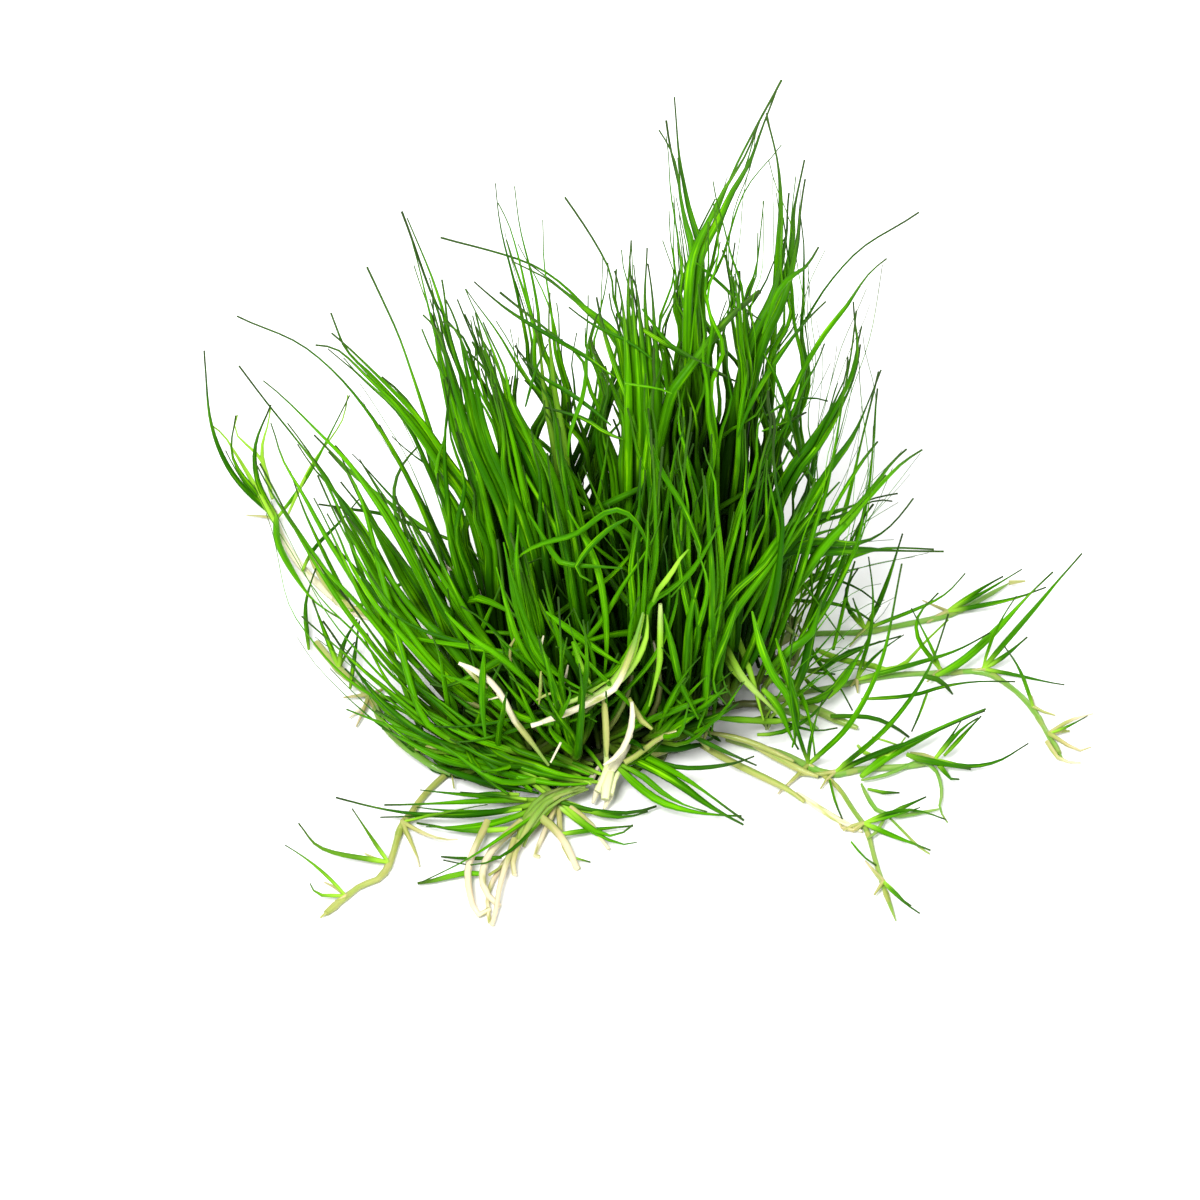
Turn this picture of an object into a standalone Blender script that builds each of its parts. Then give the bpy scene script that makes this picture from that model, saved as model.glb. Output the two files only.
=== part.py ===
"""Dwarf hairgrass: one picked clump, standing on its own root mat.

Upright tufts of needle-thin blades grow from small crowns on a flat mat of roots and rhizomes.
Runners creep out from the mat over the table and carry smaller plantlets with cut roots.

Sizes here are in millimetres, and turn into metres where a mesh is made. X runs to the right, Y to
the back and Z up. The fan of blades is drawn in a plane that leans back by FAN_TILT: "across" is
measured along X, and "rise" up the slope of that plane.
"""

import math
from dataclasses import dataclass

import bmesh
import bpy
import numpy as np

MM = 0.001
SEED = 7
FAN_TILT = math.radians(40)

# Blades
BLADE_RADIUS = 0.29  # around a three-sided blade
FINE_BLADE_RADIUS = 0.22  # on the runners' plantlets
BLADE_TAPER = 0.72  # share of the radius lost just before the point
ROOT_RADIUS = 0.26
SEGMENT_LENGTH = 9.0
FEWEST_SEGMENTS = 3
MOST_SEGMENTS = 5
ARCH_SHARE = 0.05  # how far a blade bows upwards, as a share of its length
BOW_SHARE = 0.04  # and how far it bows sideways at random
STAGGER = 0.26  # the shortest blade of a tuft is this much shorter than the longest
GOLDEN_ANGLE = math.pi * (3 - math.sqrt(5))

# Crowns, the mat and the runners
CROWN_RADIUS = 0.85
SPLAY = 0.8  # how far apart the blades of one crown start, as the tangent of the widest one's angle
SPROUT_RADIUS = 0.62
MAT_HEIGHT = 1.9
MAT_MARGIN = 2.1  # from a crown's middle to the mat's edge
MAT_EDGE_POWER = 0.38  # under 0.5 makes a flat top and a steep edge
MAT_SEGMENTS = 36
MAT_RINGS = 12
MAT_LUMP = 0.22  # how far its upper side dips between lumps
MAT_SMOOTHING = 1  # sectors averaged to each side of the outline
RUNNER_RADIUS = 0.36
RUNNER_STEP = 2.6  # between a runner's sections
NODE_SWELLING = 1.35
GAP = 0.3  # between pieces that rest on each other

# Parting blades that cross
CLEARANCE = 0.16
ROOTED_SHARE = 0.7  # of a blade's radius that counts at its crown, where facets share their corners
ROUNDS = 220
CANDIDATE_REACH = 2.0
CANDIDATE_ROUNDS = 10
STIFFNESS = 0.12


@dataclass(frozen=True)
class Tuft:
    """A lock of upright blades from one crown on the mat."""

    name: str
    crown: tuple  # x and y on the table
    via: tuple  # across and rise, halfway up
    tip: tuple  # across and rise
    lean: float  # degrees back from upright
    blades: int = 6
    spread: float = 1.6  # half the lock's width at its middle
    gather: float = 0.9  # half its width at its tips
    strays: tuple = ()  # (via, tip, lean) of each blade that leaves the lock


@dataclass(frozen=True)
class Sprout:
    """A plantlet on a runner, or one that lies on the table by itself."""

    at: tuple  # across and rise, on the table
    shoots: tuple  # (via, tip, lean) of each blade
    roots: tuple = ()  # (via, tip) of each root, on the table


@dataclass(frozen=True)
class Runner:
    """A creeping stem that lies on the table, with its sprouts."""

    name: str
    route: tuple  # across and rise, on the table
    sprouts: tuple
    radius: float = RUNNER_RADIUS


TUFTS = (
    # The crest: the tallest blades, at the back of the clump.
    Tuft("crest_tuft_01", (8.0, 10.0), (7.7, 27), (5.3, 47.9), 22, 6, 1.4, 0.6),
    Tuft("crest_tuft_02", (9.8, 7.2), (8.2, 30), (14.7, 50.7), 18, 5, 1.2, 0.8,
         (((9.0, 31), (14.8, 45.8), 18),)),
    Tuft("crest_tuft_03", (11.0, 4.6), (12.8, 26), (14.3, 44), 15, 6, 2.0, 1.0,
         (((14.6, 32), (13.5, 48), 15),)),
    Tuft("crest_tuft_04", (12.6, 9.2), (14.4, 27), (16.4, 43.6), 25, 5, 1.5, 1.0,
         (((16.4, 29.5), (26.4, 40.4), 25),)),
    Tuft("crest_tuft_05", (13.8, 4.8), (15.9, 22), (17.7, 37.1), 20, 6, 1.6, 1.0),
    Tuft("crest_tuft_06", (4.2, 7.0), (3.5, 22.5), (2.2, 38), 21, 7, 1.5, 0.8,
         (((3.0, 28), (-2.9, 41.4), 21),)),
    Tuft("crest_tuft_07", (1.0, 10.4), (0.7, 23), (0.3, 37), 30, 5, 2.2, 2.0,
         (((0.9, 29.5), (-13.2, 38.7), 30),)),
    Tuft("crest_tuft_08", (-2.2, 10.2), (-4.2, 27), (-9.0, 42.8), 28, 4, 1.4, 1.0,
         (((-4.4, 26), (-7.2, 42.5), 28), ((-3.4, 25), (-4.8, 39.6), 26))),
    Tuft("crest_tuft_09", (-0.4, 6.4), (-2.6, 22), (-10.2, 34.4), 24, 4, 1.8, 2.0,
         (((-2.0, 18), (-7.0, 29.2), 24),)),
    Tuft("crest_tuft_10", (-5.4, 8.2), (-5.0, 20), (-5.5, 33), 32, 5, 2.2, 2.6),
    Tuft("crest_tuft_11", (6.6, 3.6), (6.1, 24), (5.7, 41.1), 14, 6, 1.7, 1.0),
    Tuft("crest_tuft_12", (9.0, 1.4), (9.7, 22), (8.8, 42.3), 12, 5, 1.9, 1.4,
         (((12.2, 25), (12.7, 40.8), 12),)),
    Tuft("crest_tuft_13", (9.6, 12.8), (11.0, 22), (11.5, 36), 38, 5, 2.3, 2.4),
    Tuft("crest_tuft_14", (4.6, 13.0), (4.0, 21), (2.5, 34), 40, 5, 2.4, 2.6),
    Tuft("crest_tuft_15", (-6.6, 12.0), (-8.6, 20), (-11.0, 29), 42, 5, 2.0, 2.4),
    Tuft("crest_tuft_16", (14.2, 12.2), (17.6, 20), (20.6, 30), 42, 5, 2.0, 2.0),
    # The wet locks that stand on the left of the crest.
    Tuft("left_lock_01", (-5.6, 3.4), (-10.3, 22), (-16.0, 40), 18, 7, 1.5, 0.7),
    Tuft("left_lock_02", (-8.0, 0.8), (-10.6, 17), (-13.0, 31), 14, 7, 1.6, 0.8,
         (((-10.6, 19), (-14.8, 30.6), 14),)),
    Tuft("left_lock_03", (-4.2, -0.2), (-7.4, 18), (-9.4, 31), 11, 6, 1.5, 0.8),
    Tuft("left_lock_04", (-3.0, 4.2), (-7.8, 21), (-11.4, 33.8), 21, 6, 1.4, 0.8),
    Tuft("left_lock_05", (-1.2, 1.2), (-4.2, 16), (-6.5, 28), 13, 6, 1.7, 1.2),
    Tuft("left_lock_06", (-0.6, -3.2), (-2.5, 12), (-4.5, 24), 6, 6, 1.9, 1.8),
    # The long blades that sweep out to the left.
    Tuft("left_fan_01", (-9.4, 4.0), (-14.6, 19), (-22.2, 29.6), 32, 5, 1.3, 0.7,
         (((-14.0, 22.5), (-19.3, 36), 32), ((-14.2, 15.5), (-20.4, 25.2), 34))),
    Tuft("left_fan_02", (-11.2, 0.6), (-16.0, 12), (-21.5, 21), 36, 6, 2.0, 1.6,
         (((-18.4, 22.5), (-30.0, 31.9), 36),)),
    Tuft("left_fan_03", (-11.8, -3.0), (-20.0, 13.5), (-29.8, 27.8), 40, 4, 1.4, 1.0),
    Tuft("left_fan_04", (-12.0, -6.6), (-21.5, 7), (-28.5, 19.5), 45, 5, 1.5, 0.9),
    Tuft("left_fan_05", (-8.2, -6.4), (-17.4, 6.5), (-23.5, 18.5), 41, 6, 1.6, 1.1),
    Tuft("left_fan_06", (-6.4, -3.4), (-12.2, 7.5), (-17.0, 17), 34, 6, 1.8, 1.6),
    Tuft("left_fan_07", (-8.6, -9.6), (-15.5, 0), (-23.0, 8), 58, 5, 1.4, 1.6),
    Tuft("left_fan_08", (-11.2, -8.7), (-17.8, -0.5), (-24.8, 6.6), 55, 5, 1.4, 1.4),
    # The blades that sweep out to the right.
    Tuft("right_fan_01", (14.4, 1.2), (18.0, 20), (23.3, 35.8), 22, 4, 1.3, 0.6),
    Tuft("right_fan_02", (13.2, -2.0), (19.0, 16), (21.0, 31.7), 12, 5, 1.5, 0.8),
    Tuft("right_fan_03", (16.2, 3.4), (20.0, 14.5), (22.9, 27.1), 26, 5, 1.5, 0.7),
    Tuft("right_fan_04", (16.0, 7.2), (21.5, 15), (26.2, 20.7), 42, 4, 1.2, 1.0,
         (((20.4, 15), (22.7, 21.3), 42),)),
    Tuft("right_fan_05", (15.4, 9.8), (21.0, 11.8), (28.0, 12.4), 62, 4, 1.2, 0.8,
         (((20.6, 13), (25.6, 16.7), 55),)),
    Tuft("right_fan_06", (15.6, -1.2), (20.8, 7), (24.4, 8.6), 30, 4, 1.6, 1.6),
    Tuft("right_fan_07", (13.8, -4.6), (19.0, 2.4), (22.4, 3.2), 8, 4, 1.8, 2.0),
    # The shorter blades in front of the crest.
    Tuft("front_tuft_01", (7.6, -3.6), (7.5, 9), (7.4, 24), 2, 6, 1.9, 1.5),
    Tuft("front_tuft_02", (10.6, -2.4), (11.8, 10), (13.8, 25), 5, 6, 1.9, 1.5),
    Tuft("front_tuft_03", (3.6, -4.4), (4.2, 8), (4.6, 21), 0, 6, 1.9, 1.8),
    Tuft("front_tuft_04", (0.4, -7.6), (3.0, 0.5), (3.4, 7.5), 8, 4, 1.2, 0.8,
         (((5.4, -5.2), (11.7, -9.6), 88), ((4.2, -4.0), (6.2, -2.7), 30))),
    Tuft("front_tuft_05", (-3.4, -6.2), (-5.4, 4), (-7.5, 14), 10, 6, 2.0, 2.2),
    Tuft("front_tuft_06", (5.6, -0.2), (5.4, 13), (5.0, 29), 6, 6, 1.9, 1.6),
    Tuft("front_tuft_07", (1.6, 2.6), (1.0, 15), (0.0, 30), 12, 6, 1.9, 1.6),
    Tuft("front_tuft_08", (2.2, -1.2), (0.6, 10), (-2.0, 19), 8, 4, 1.9, 2.0,
         (((-1.0, 12.5), (-6.8, 11.0), 12),)),
    Tuft("front_tuft_09", (11.6, 1.0), (12.8, 14), (14.5, 29), 10, 6, 1.9, 1.6),
    Tuft("front_tuft_10", (-5.4, -9.4), (-9.8, -2.2), (-15.2, 2.4), 35, 5, 2.0, 2.2,
         (((-0.8, -0.4), (3.2, 5.4), 5),)),
    Tuft("front_tuft_11", (4.2, -7.6), (7.2, -1.6), (11.6, 1.8), -10, 5, 1.6, 2.0),
    Tuft("front_tuft_12", (-2.0, -9.4), (-2.4, -0.6), (-3.0, 8.0), -8, 5, 2.0, 2.6,
         (((-6.9, -1.5), (-11.3, 3.1), 15),)),
)

FRONT_SPROUT = Sprout(
    (-3.4, -8.7),
    (
        ((-12.5, -9.2), (-21.7, -7.9), 84),
        ((-11.0, -8.3), (-17.6, -8.6), 84),
        ((-10.0, -10.2), (-15.0, -10.0), 84),
        ((-8.6, -11.6), (-14.7, -14.6), 90),
        ((-8.4, -12.6), (-12.8, -12.7), 90),
        ((0.2, -10.8), (2.7, -10.2), 90),
        ((0.8, -9.4), (4.0, -9.0), 90),
        ((-6.6, -5.4), (-11.2, -3.0), 62),
    ),
    (
        ((-3.0, -11.6), (-1.7, -13.5)),
        ((-5.2, -12.4), (-4.9, -12.6)),
        ((-8.4, -13.8), (-8.9, -17.7)),
    ),
)

RUNNERS = (
    Runner(
        "runner_left",
        ((-11.5, 3.6), (-14.8, 4.9), (-17.9, 6.2), (-21.2, 7.3), (-24.8, 10.3), (-26.8, 12.9), (-28.0, 15.4)),
        (
            Sprout((-21.0, 7.3), (((-25.5, 14), (-29.2, 20.0), 40), ((-24, 14), (-26, 19), 30))),
            Sprout(
                (-27.6, 14.8),
                (
                    ((-32.4, 21), (-33.5, 29.6), 32),
                    ((-24.2, 20), (-21.2, 25.8), 34),
                    ((-29.4, 20), (-28.0, 25.0), 34),
                    ((-30.6, 18.5), (-31.0, 24.0), 30),
                ),
            ),
        ),
    ),
    Runner(
        "runner_left_low",
        ((-23.8, 4.4), (-21.9, 2.3), (-19.2, 0.0), (-17.9, -2.4), (-15.6, -4.4), (-14.2, -4.7)),
        (
            Sprout((-21.8, 2.2), (((-21.4, 4.6), (-20.2, 6.9), 30), ((-22.8, 5.2), (-24.0, 8.2), 30))),
            Sprout(
                (-19.2, 0.0),
                (((-16.8, -0.2), (-13.8, -0.6), 80), ((-17.0, -1.2), (-14.6, -2.6), 84)),
                (((-19.8, -1.4), (-20.2, -2.2)),),
            ),
        ),
    ),
    Runner(
        "runner_front_left",
        ((-13.0, -6.7), (-15.2, -8.8), (-16.3, -10.4), (-16.9, -12.2),
         (-18.0, -14.3), (-20.8, -16.2), (-22.4, -17.6)),
        (
            Sprout((-16.2, -10.3), (((-13.6, -11.0), (-11.6, -11.2), 88),),
                   (((-15.2, -12.0), (-14.7, -13.4)),)),
            Sprout((-17.0, -12.9), (((-21.3, -12.6), (-24.6, -10.0), 80),)),
            Sprout((-20.6, -16.1), (((-22.2, -15.8), (-23.4, -14.6), 84),)),
        ),
    ),
    Runner(
        "runner_right_upper",
        ((19.2, 5.3), (22.3, 5.4), (25.5, 6.0), (29.5, 6.9), (33.0, 8.6), (34.6, 9.5)),
        (
            Sprout(
                (22.3, 5.4),
                (((27.0, 7.6), (30.7, 10.6), 45), ((24.0, 9.5), (25.2, 14.0), 30),
                 ((20.6, 8.4), (21.6, 11.0), 30)),
            ),
            Sprout((29.3, 6.9), (((32.0, 9.2), (34.0, 10.3), 55), ((33.5, 8.0), (37.5, 9.3), 70))),
        ),
        0.28,
    ),
    Runner(
        "runner_right_middle",
        ((19.2, 0.8), (22.5, 1.5), (25.2, 1.9), (28.5, 2.0), (32.0, 2.1), (34.3, 0.8),
         (36.0, -1.0), (37.2, -3.2), (38.2, -5.0)),
        (
            Sprout((21.4, 1.2), (((26.8, 3.0), (32.7, 5.6), 55), ((22.6, 7.0), (22.2, 12.0), 20))),
            Sprout((28.5, 2.0), (((34.0, 5.6), (40.3, 12.3), 40), ((26.4, 6.0), (28.3, 9.0), 24))),
            Sprout((32.0, 2.1), (((33.8, 3.6), (35.8, 5.2), 60), ((35.0, 2.0), (38.7, 1.3), 84))),
            Sprout((36.0, -1.0), (((38.2, -1.6), (41.0, -1.0), 80),)),
            Sprout((37.2, -3.2), (((38.8, -4.0), (40.5, -3.8), 84),)),
        ),
        0.28,
    ),
    Runner(
        "runner_right_lower",
        ((12.5, -4.0), (15.2, -4.7), (17.6, -5.9), (19.2, -6.3), (21.6, -5.9), (25.0, -5.7),
         (27.9, -5.3)),
        (
            Sprout((17.2, -5.7), (((22.0, 0.8), (24.5, 11.2), 14), ((15.6, 0.6), (16.0, 6.0), 10)),
                   (((15.6, -6.8), (14.6, -7.6)),)),
            Sprout((19.4, -6.3), (((25.4, -3.3), (32.0, -0.8), 62), ((25.2, 0.0), (28.3, 7.2), 24),
                                  ((22.6, -4.4), (26.0, -3.4), 70))),
            Sprout((27.6, -5.3), (((31.5, -5.2), (35.3, -3.5), 80), ((28.6, -6.2), (29.5, -6.3), 90),
                                  ((29.6, -2.6), (31.2, -1.4), 50))),
        ),
        0.30,
    ),
    Runner(
        "runner_right_front",
        ((19.6, -7.3), (20.7, -9.0), (21.8, -10.7), (22.4, -13.0), (23.1, -15.4), (23.9, -17.8)),
        (
            Sprout((21.6, -10.4), (((24.0, -11.0), (26.7, -12.2), 90), ((25.0, -8.9), (28.3, -9.6), 88)),
                   (((20.2, -10.6), (19.4, -9.6)),)),
            Sprout((23.0, -15.0), (((24.4, -16.0), (25.7, -17.1), 90),)),
        ),
        0.26,
    ),
)

MATERIALS = {
    "blade": (0.07, 0.27, 0.012),
    "runner": (0.55, 0.62, 0.32),
    "root_mat": (0.34, 0.36, 0.16),
}


# Curves


@dataclass
class Shoot:
    """A blade or root: the line that it follows and its radius along it."""

    line: np.ndarray
    radii: np.ndarray


@dataclass
class Plantlet:
    """A crown with the shoots that grow from it. Each shoot gets a facet of the crown and starts there."""

    centre: np.ndarray
    radius: float
    shoots: list

    def __post_init__(self):
        bm = crown_mesh(self.centre, self.radius)
        normals = np.array([facet.normal for facet in bm.faces])
        ways = np.array([one.line[1] - self.centre for one in self.shoots])
        ways /= np.linalg.norm(ways, axis=1)[:, None]
        aside = ways - ways.mean(axis=0)
        widest = max(np.linalg.norm(aside, axis=1).max(), 1e-9)
        self.facets = best_facets(ways.mean(axis=0) + aside * max(1, SPLAY / widest), normals)
        for one, facet in zip(self.shoots, self.facets):
            one.line[0] = bm.faces[facet].calc_center_median()
        bm.free()


def crown_mesh(centre, radius):
    """A crown as a small icosphere."""
    bm = bmesh.new()
    bmesh.ops.create_icosphere(bm, subdivisions=1, radius=radius)
    bmesh.ops.translate(bm, vec=centre, verts=bm.verts)
    bm.normal_update()
    bm.faces.ensure_lookup_table()
    return bm


def best_facets(ways, normals):
    """A facet of its own for each way, so that together they face their ways best."""
    fit = (ways / np.linalg.norm(ways, axis=1)[:, None]) @ normals.T
    chosen = []
    for row in fit:
        free = [facet for facet in np.argsort(-row) if facet not in chosen]
        chosen.append(int(free[0]))
    improved = True
    while improved:
        improved = False
        for a in range(len(chosen)):
            for facet in range(len(normals)):
                other = chosen.index(facet) if facet in chosen else None
                gain = fit[a, facet] - fit[a, chosen[a]]
                if other is not None:
                    gain += fit[other, chosen[a]] - fit[other, facet]
                if gain > 1e-6:
                    if other is not None:
                        chosen[other] = chosen[a]
                    chosen[a] = facet
                    improved = True
    return chosen


def rise_of(point):
    return point[1] * math.sin(FAN_TILT) + point[2] * math.cos(FAN_TILT)


def fan_point(across, rise, height):
    """The point at this height that is seen at this place in the leaning plane."""
    back = (rise - height * math.cos(FAN_TILT)) / math.sin(FAN_TILT)
    return np.array([across, back, height])


def leaning_point(centre, place, lean, lift=0.0):
    """Where a blade from this crown is, if it leans back by this angle and is seen at this place."""
    angle = math.radians(lean)
    climb = (place[1] - rise_of(centre)) * math.cos(angle) / math.cos(FAN_TILT - angle)
    return fan_point(*place, max(centre[2] + climb + lift, ROOT_RADIUS))


def bend(start, via, end, share):
    """The point at this share of the curve that passes start, via (halfway) and end."""
    pull = 2 * via - (start + end) / 2
    return (1 - share) ** 2 * start + 2 * share * (1 - share) * pull + share**2 * end


def shoot(start, via, end, radius):
    """A tapering shoot along the curve, with a section about every SEGMENT_LENGTH."""
    length = np.linalg.norm(via - start) + np.linalg.norm(end - via)
    segments = int(np.clip(round(length / SEGMENT_LENGTH), FEWEST_SEGMENTS, MOST_SEGMENTS))
    shares = np.linspace(0, 1, segments + 1)
    line = np.array([bend(start, via, end, share) for share in shares])
    return Shoot(line, radius * (1 - BLADE_TAPER * shares**2))


def blade(centre, via, tip, lean, radius):
    """A blade from a crown, given as it is seen in the leaning plane."""
    end = leaning_point(centre, tip, lean)
    arch = ARCH_SHARE * np.linalg.norm(end - centre)
    return shoot(centre, leaning_point(centre, via, lean, arch), end, radius)


def tuft_plantlet(tuft, centre, rng):
    """The crown of a tuft with its blades: a lock that is widest at its middle, and its strays."""
    end = leaning_point(centre, tuft.tip, tuft.lean)
    arch = ARCH_SHARE * np.linalg.norm(end - centre)
    via = leaning_point(centre, tuft.via, tuft.lean, arch)
    along = (end - centre) / np.linalg.norm(end - centre)
    side = np.cross(along, (0, 1, 0))
    side /= np.linalg.norm(side)
    front = np.cross(side, along)
    turn = rng.uniform(0, 2 * math.pi)
    shoots = []
    for number in range(tuft.blades):
        angle = turn + number * GOLDEN_ANGLE
        out = math.sqrt((number + 0.5) / tuft.blades)
        offset = out * (math.cos(angle) * side + math.sin(angle) * front)
        reach = 1 - STAGGER * number / tuft.blades * rng.uniform(0.6, 1.2)
        blade_tip = bend(centre, via, end, reach) + tuft.gather * offset
        bow = BOW_SHARE * np.linalg.norm(end - centre) * rng.normal()
        blade_via = bend(centre, via, end, reach / 2) + tuft.spread * offset + bow * side
        shoots.append(shoot(centre, blade_via, blade_tip, BLADE_RADIUS))
    for stray_via, stray_tip, lean in tuft.strays:
        shoots.append(blade(centre, stray_via, stray_tip, lean, BLADE_RADIUS))
    return Plantlet(centre, CROWN_RADIUS, shoots)


def sprout_plantlet(sprout, radius=SPROUT_RADIUS):
    """The crown of a sprout on the table with its blades and roots."""
    centre = fan_point(sprout.at[0], sprout.at[1] + radius * math.cos(FAN_TILT), radius)
    shoots = [
        blade(centre, via, tip, lean, FINE_BLADE_RADIUS if radius < CROWN_RADIUS else BLADE_RADIUS)
        for via, tip, lean in sprout.shoots
    ]
    for via, tip in sprout.roots:
        points = [fan_point(*place, ROOT_RADIUS) for place in (via, tip)]
        shoots.append(shoot(centre, *points, ROOT_RADIUS))
    return Plantlet(centre, radius, shoots)


def runner_line(runner):
    """Evenly spaced points along a smooth curve through the runner's route, on the table."""
    height = runner.radius * NODE_SWELLING
    stops = np.array([fan_point(across, rise + height * math.cos(FAN_TILT), height)
                      for across, rise in runner.route])
    padded = np.vstack([2 * stops[0] - stops[1], stops, 2 * stops[-1] - stops[-2]])
    points = []
    for before, start, end, after in zip(padded, padded[1:], padded[2:], padded[3:]):
        steps = max(1, round(np.linalg.norm(end - start) / RUNNER_STEP))
        for share in np.arange(steps) / steps:
            points.append(0.5 * (2 * start + (end - before) * share
                                 + (2 * before - 5 * start + 4 * end - after) * share**2
                                 + (3 * start - before - 3 * end + after) * share**3))
    return np.array([*points, stops[-1]])


# The mat


class Mat:
    """The flat, round-edged mat of roots under the tufts. Its outline keeps clear of every crown."""

    def __init__(self, crowns):
        self.centre = (crowns.min(axis=0) + crowns.max(axis=0)) / 2
        angles = np.arange(MAT_SEGMENTS) * 2 * math.pi / MAT_SEGMENTS
        toward = np.stack([np.cos(angles), np.sin(angles)], axis=1)
        offset = crowns - self.centre
        along = toward @ offset.T
        beside = np.abs(toward[:, :1] * offset[:, 1] - toward[:, 1:] * offset[:, 0])
        reach = np.where(beside < MAT_MARGIN,
                         along + np.sqrt(np.maximum(MAT_MARGIN**2 - beside**2, 0)), 0).max(axis=1)
        turns = range(-MAT_SMOOTHING, MAT_SMOOTHING + 1)
        self.reach = np.mean([np.roll(reach, turn) for turn in turns], axis=0)

    def edge(self, angle):
        """How far the outline is from the middle, in this direction."""
        place = angle / (2 * math.pi) * MAT_SEGMENTS
        low = np.floor(place).astype(int)
        share = place - low
        return (self.reach[low % MAT_SEGMENTS] * (1 - share)
                + self.reach[(low + 1) % MAT_SEGMENTS] * share)

    def height(self, x, y):
        """How high its upper side is here, before its lumps; 0 outside."""
        across, back = x - self.centre[0], y - self.centre[1]
        out = np.hypot(across, back) / self.edge(np.arctan2(back, across) % (2 * math.pi))
        return MAT_HEIGHT * np.maximum(1 - out**2, 0) ** MAT_EDGE_POWER

    def make(self, name):
        """A sphere's upper half, spread to the outline and closed by a flat underside."""
        bm = bmesh.new()
        bmesh.ops.create_uvsphere(bm, u_segments=MAT_SEGMENTS, v_segments=MAT_RINGS, radius=1)
        below = [vert for vert in bm.verts if vert.co.z < -0.5 / MAT_RINGS]
        bmesh.ops.delete(bm, geom=below, context="VERTS")
        for vert in bm.verts:
            angle = math.atan2(vert.co.y, vert.co.x) % (2 * math.pi)
            out = min(math.hypot(vert.co.x, vert.co.y), 1.0)
            x = self.centre[0] + out * self.edge(angle) * math.cos(angle)
            y = self.centre[1] + out * self.edge(angle) * math.sin(angle)
            lump = 0.5 + 0.25 * math.sin(1.9 * x) + 0.25 * math.cos(2.3 * y + x)
            height = MAT_HEIGHT * max(1 - out**2, 0) ** MAT_EDGE_POWER
            vert.co = (x, y, max(height - MAT_LUMP * lump, 0) if out < 0.999 else 0)
        rim = [edge for edge in bm.edges if edge.is_boundary]
        bmesh.ops.contextual_create(bm, geom=rim)
        bmesh.ops.recalc_face_normals(bm, faces=bm.faces)
        return object_from(bm, name)


# Parting


def closest_shares(start_a, along_a, start_b, along_b):
    """Where each pair of segments comes closest, as a share of each."""
    between = start_a - start_b
    aa = (along_a**2).sum(1)
    bb = np.maximum((along_b**2).sum(1), 1e-9)
    ab = (along_a * along_b).sum(1)
    a_between = (along_a * between).sum(1)
    b_between = (along_b * between).sum(1)
    spread = np.maximum(aa * bb - ab**2, 1e-9)
    share_a = np.clip((ab * b_between - a_between * bb) / spread, 0, 1)
    share_b = np.clip((ab * share_a + b_between) / bb, 0, 1)
    share_a = np.clip((ab * share_b - a_between) / np.maximum(aa, 1e-9), 0, 1)
    return share_a, share_b


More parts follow.
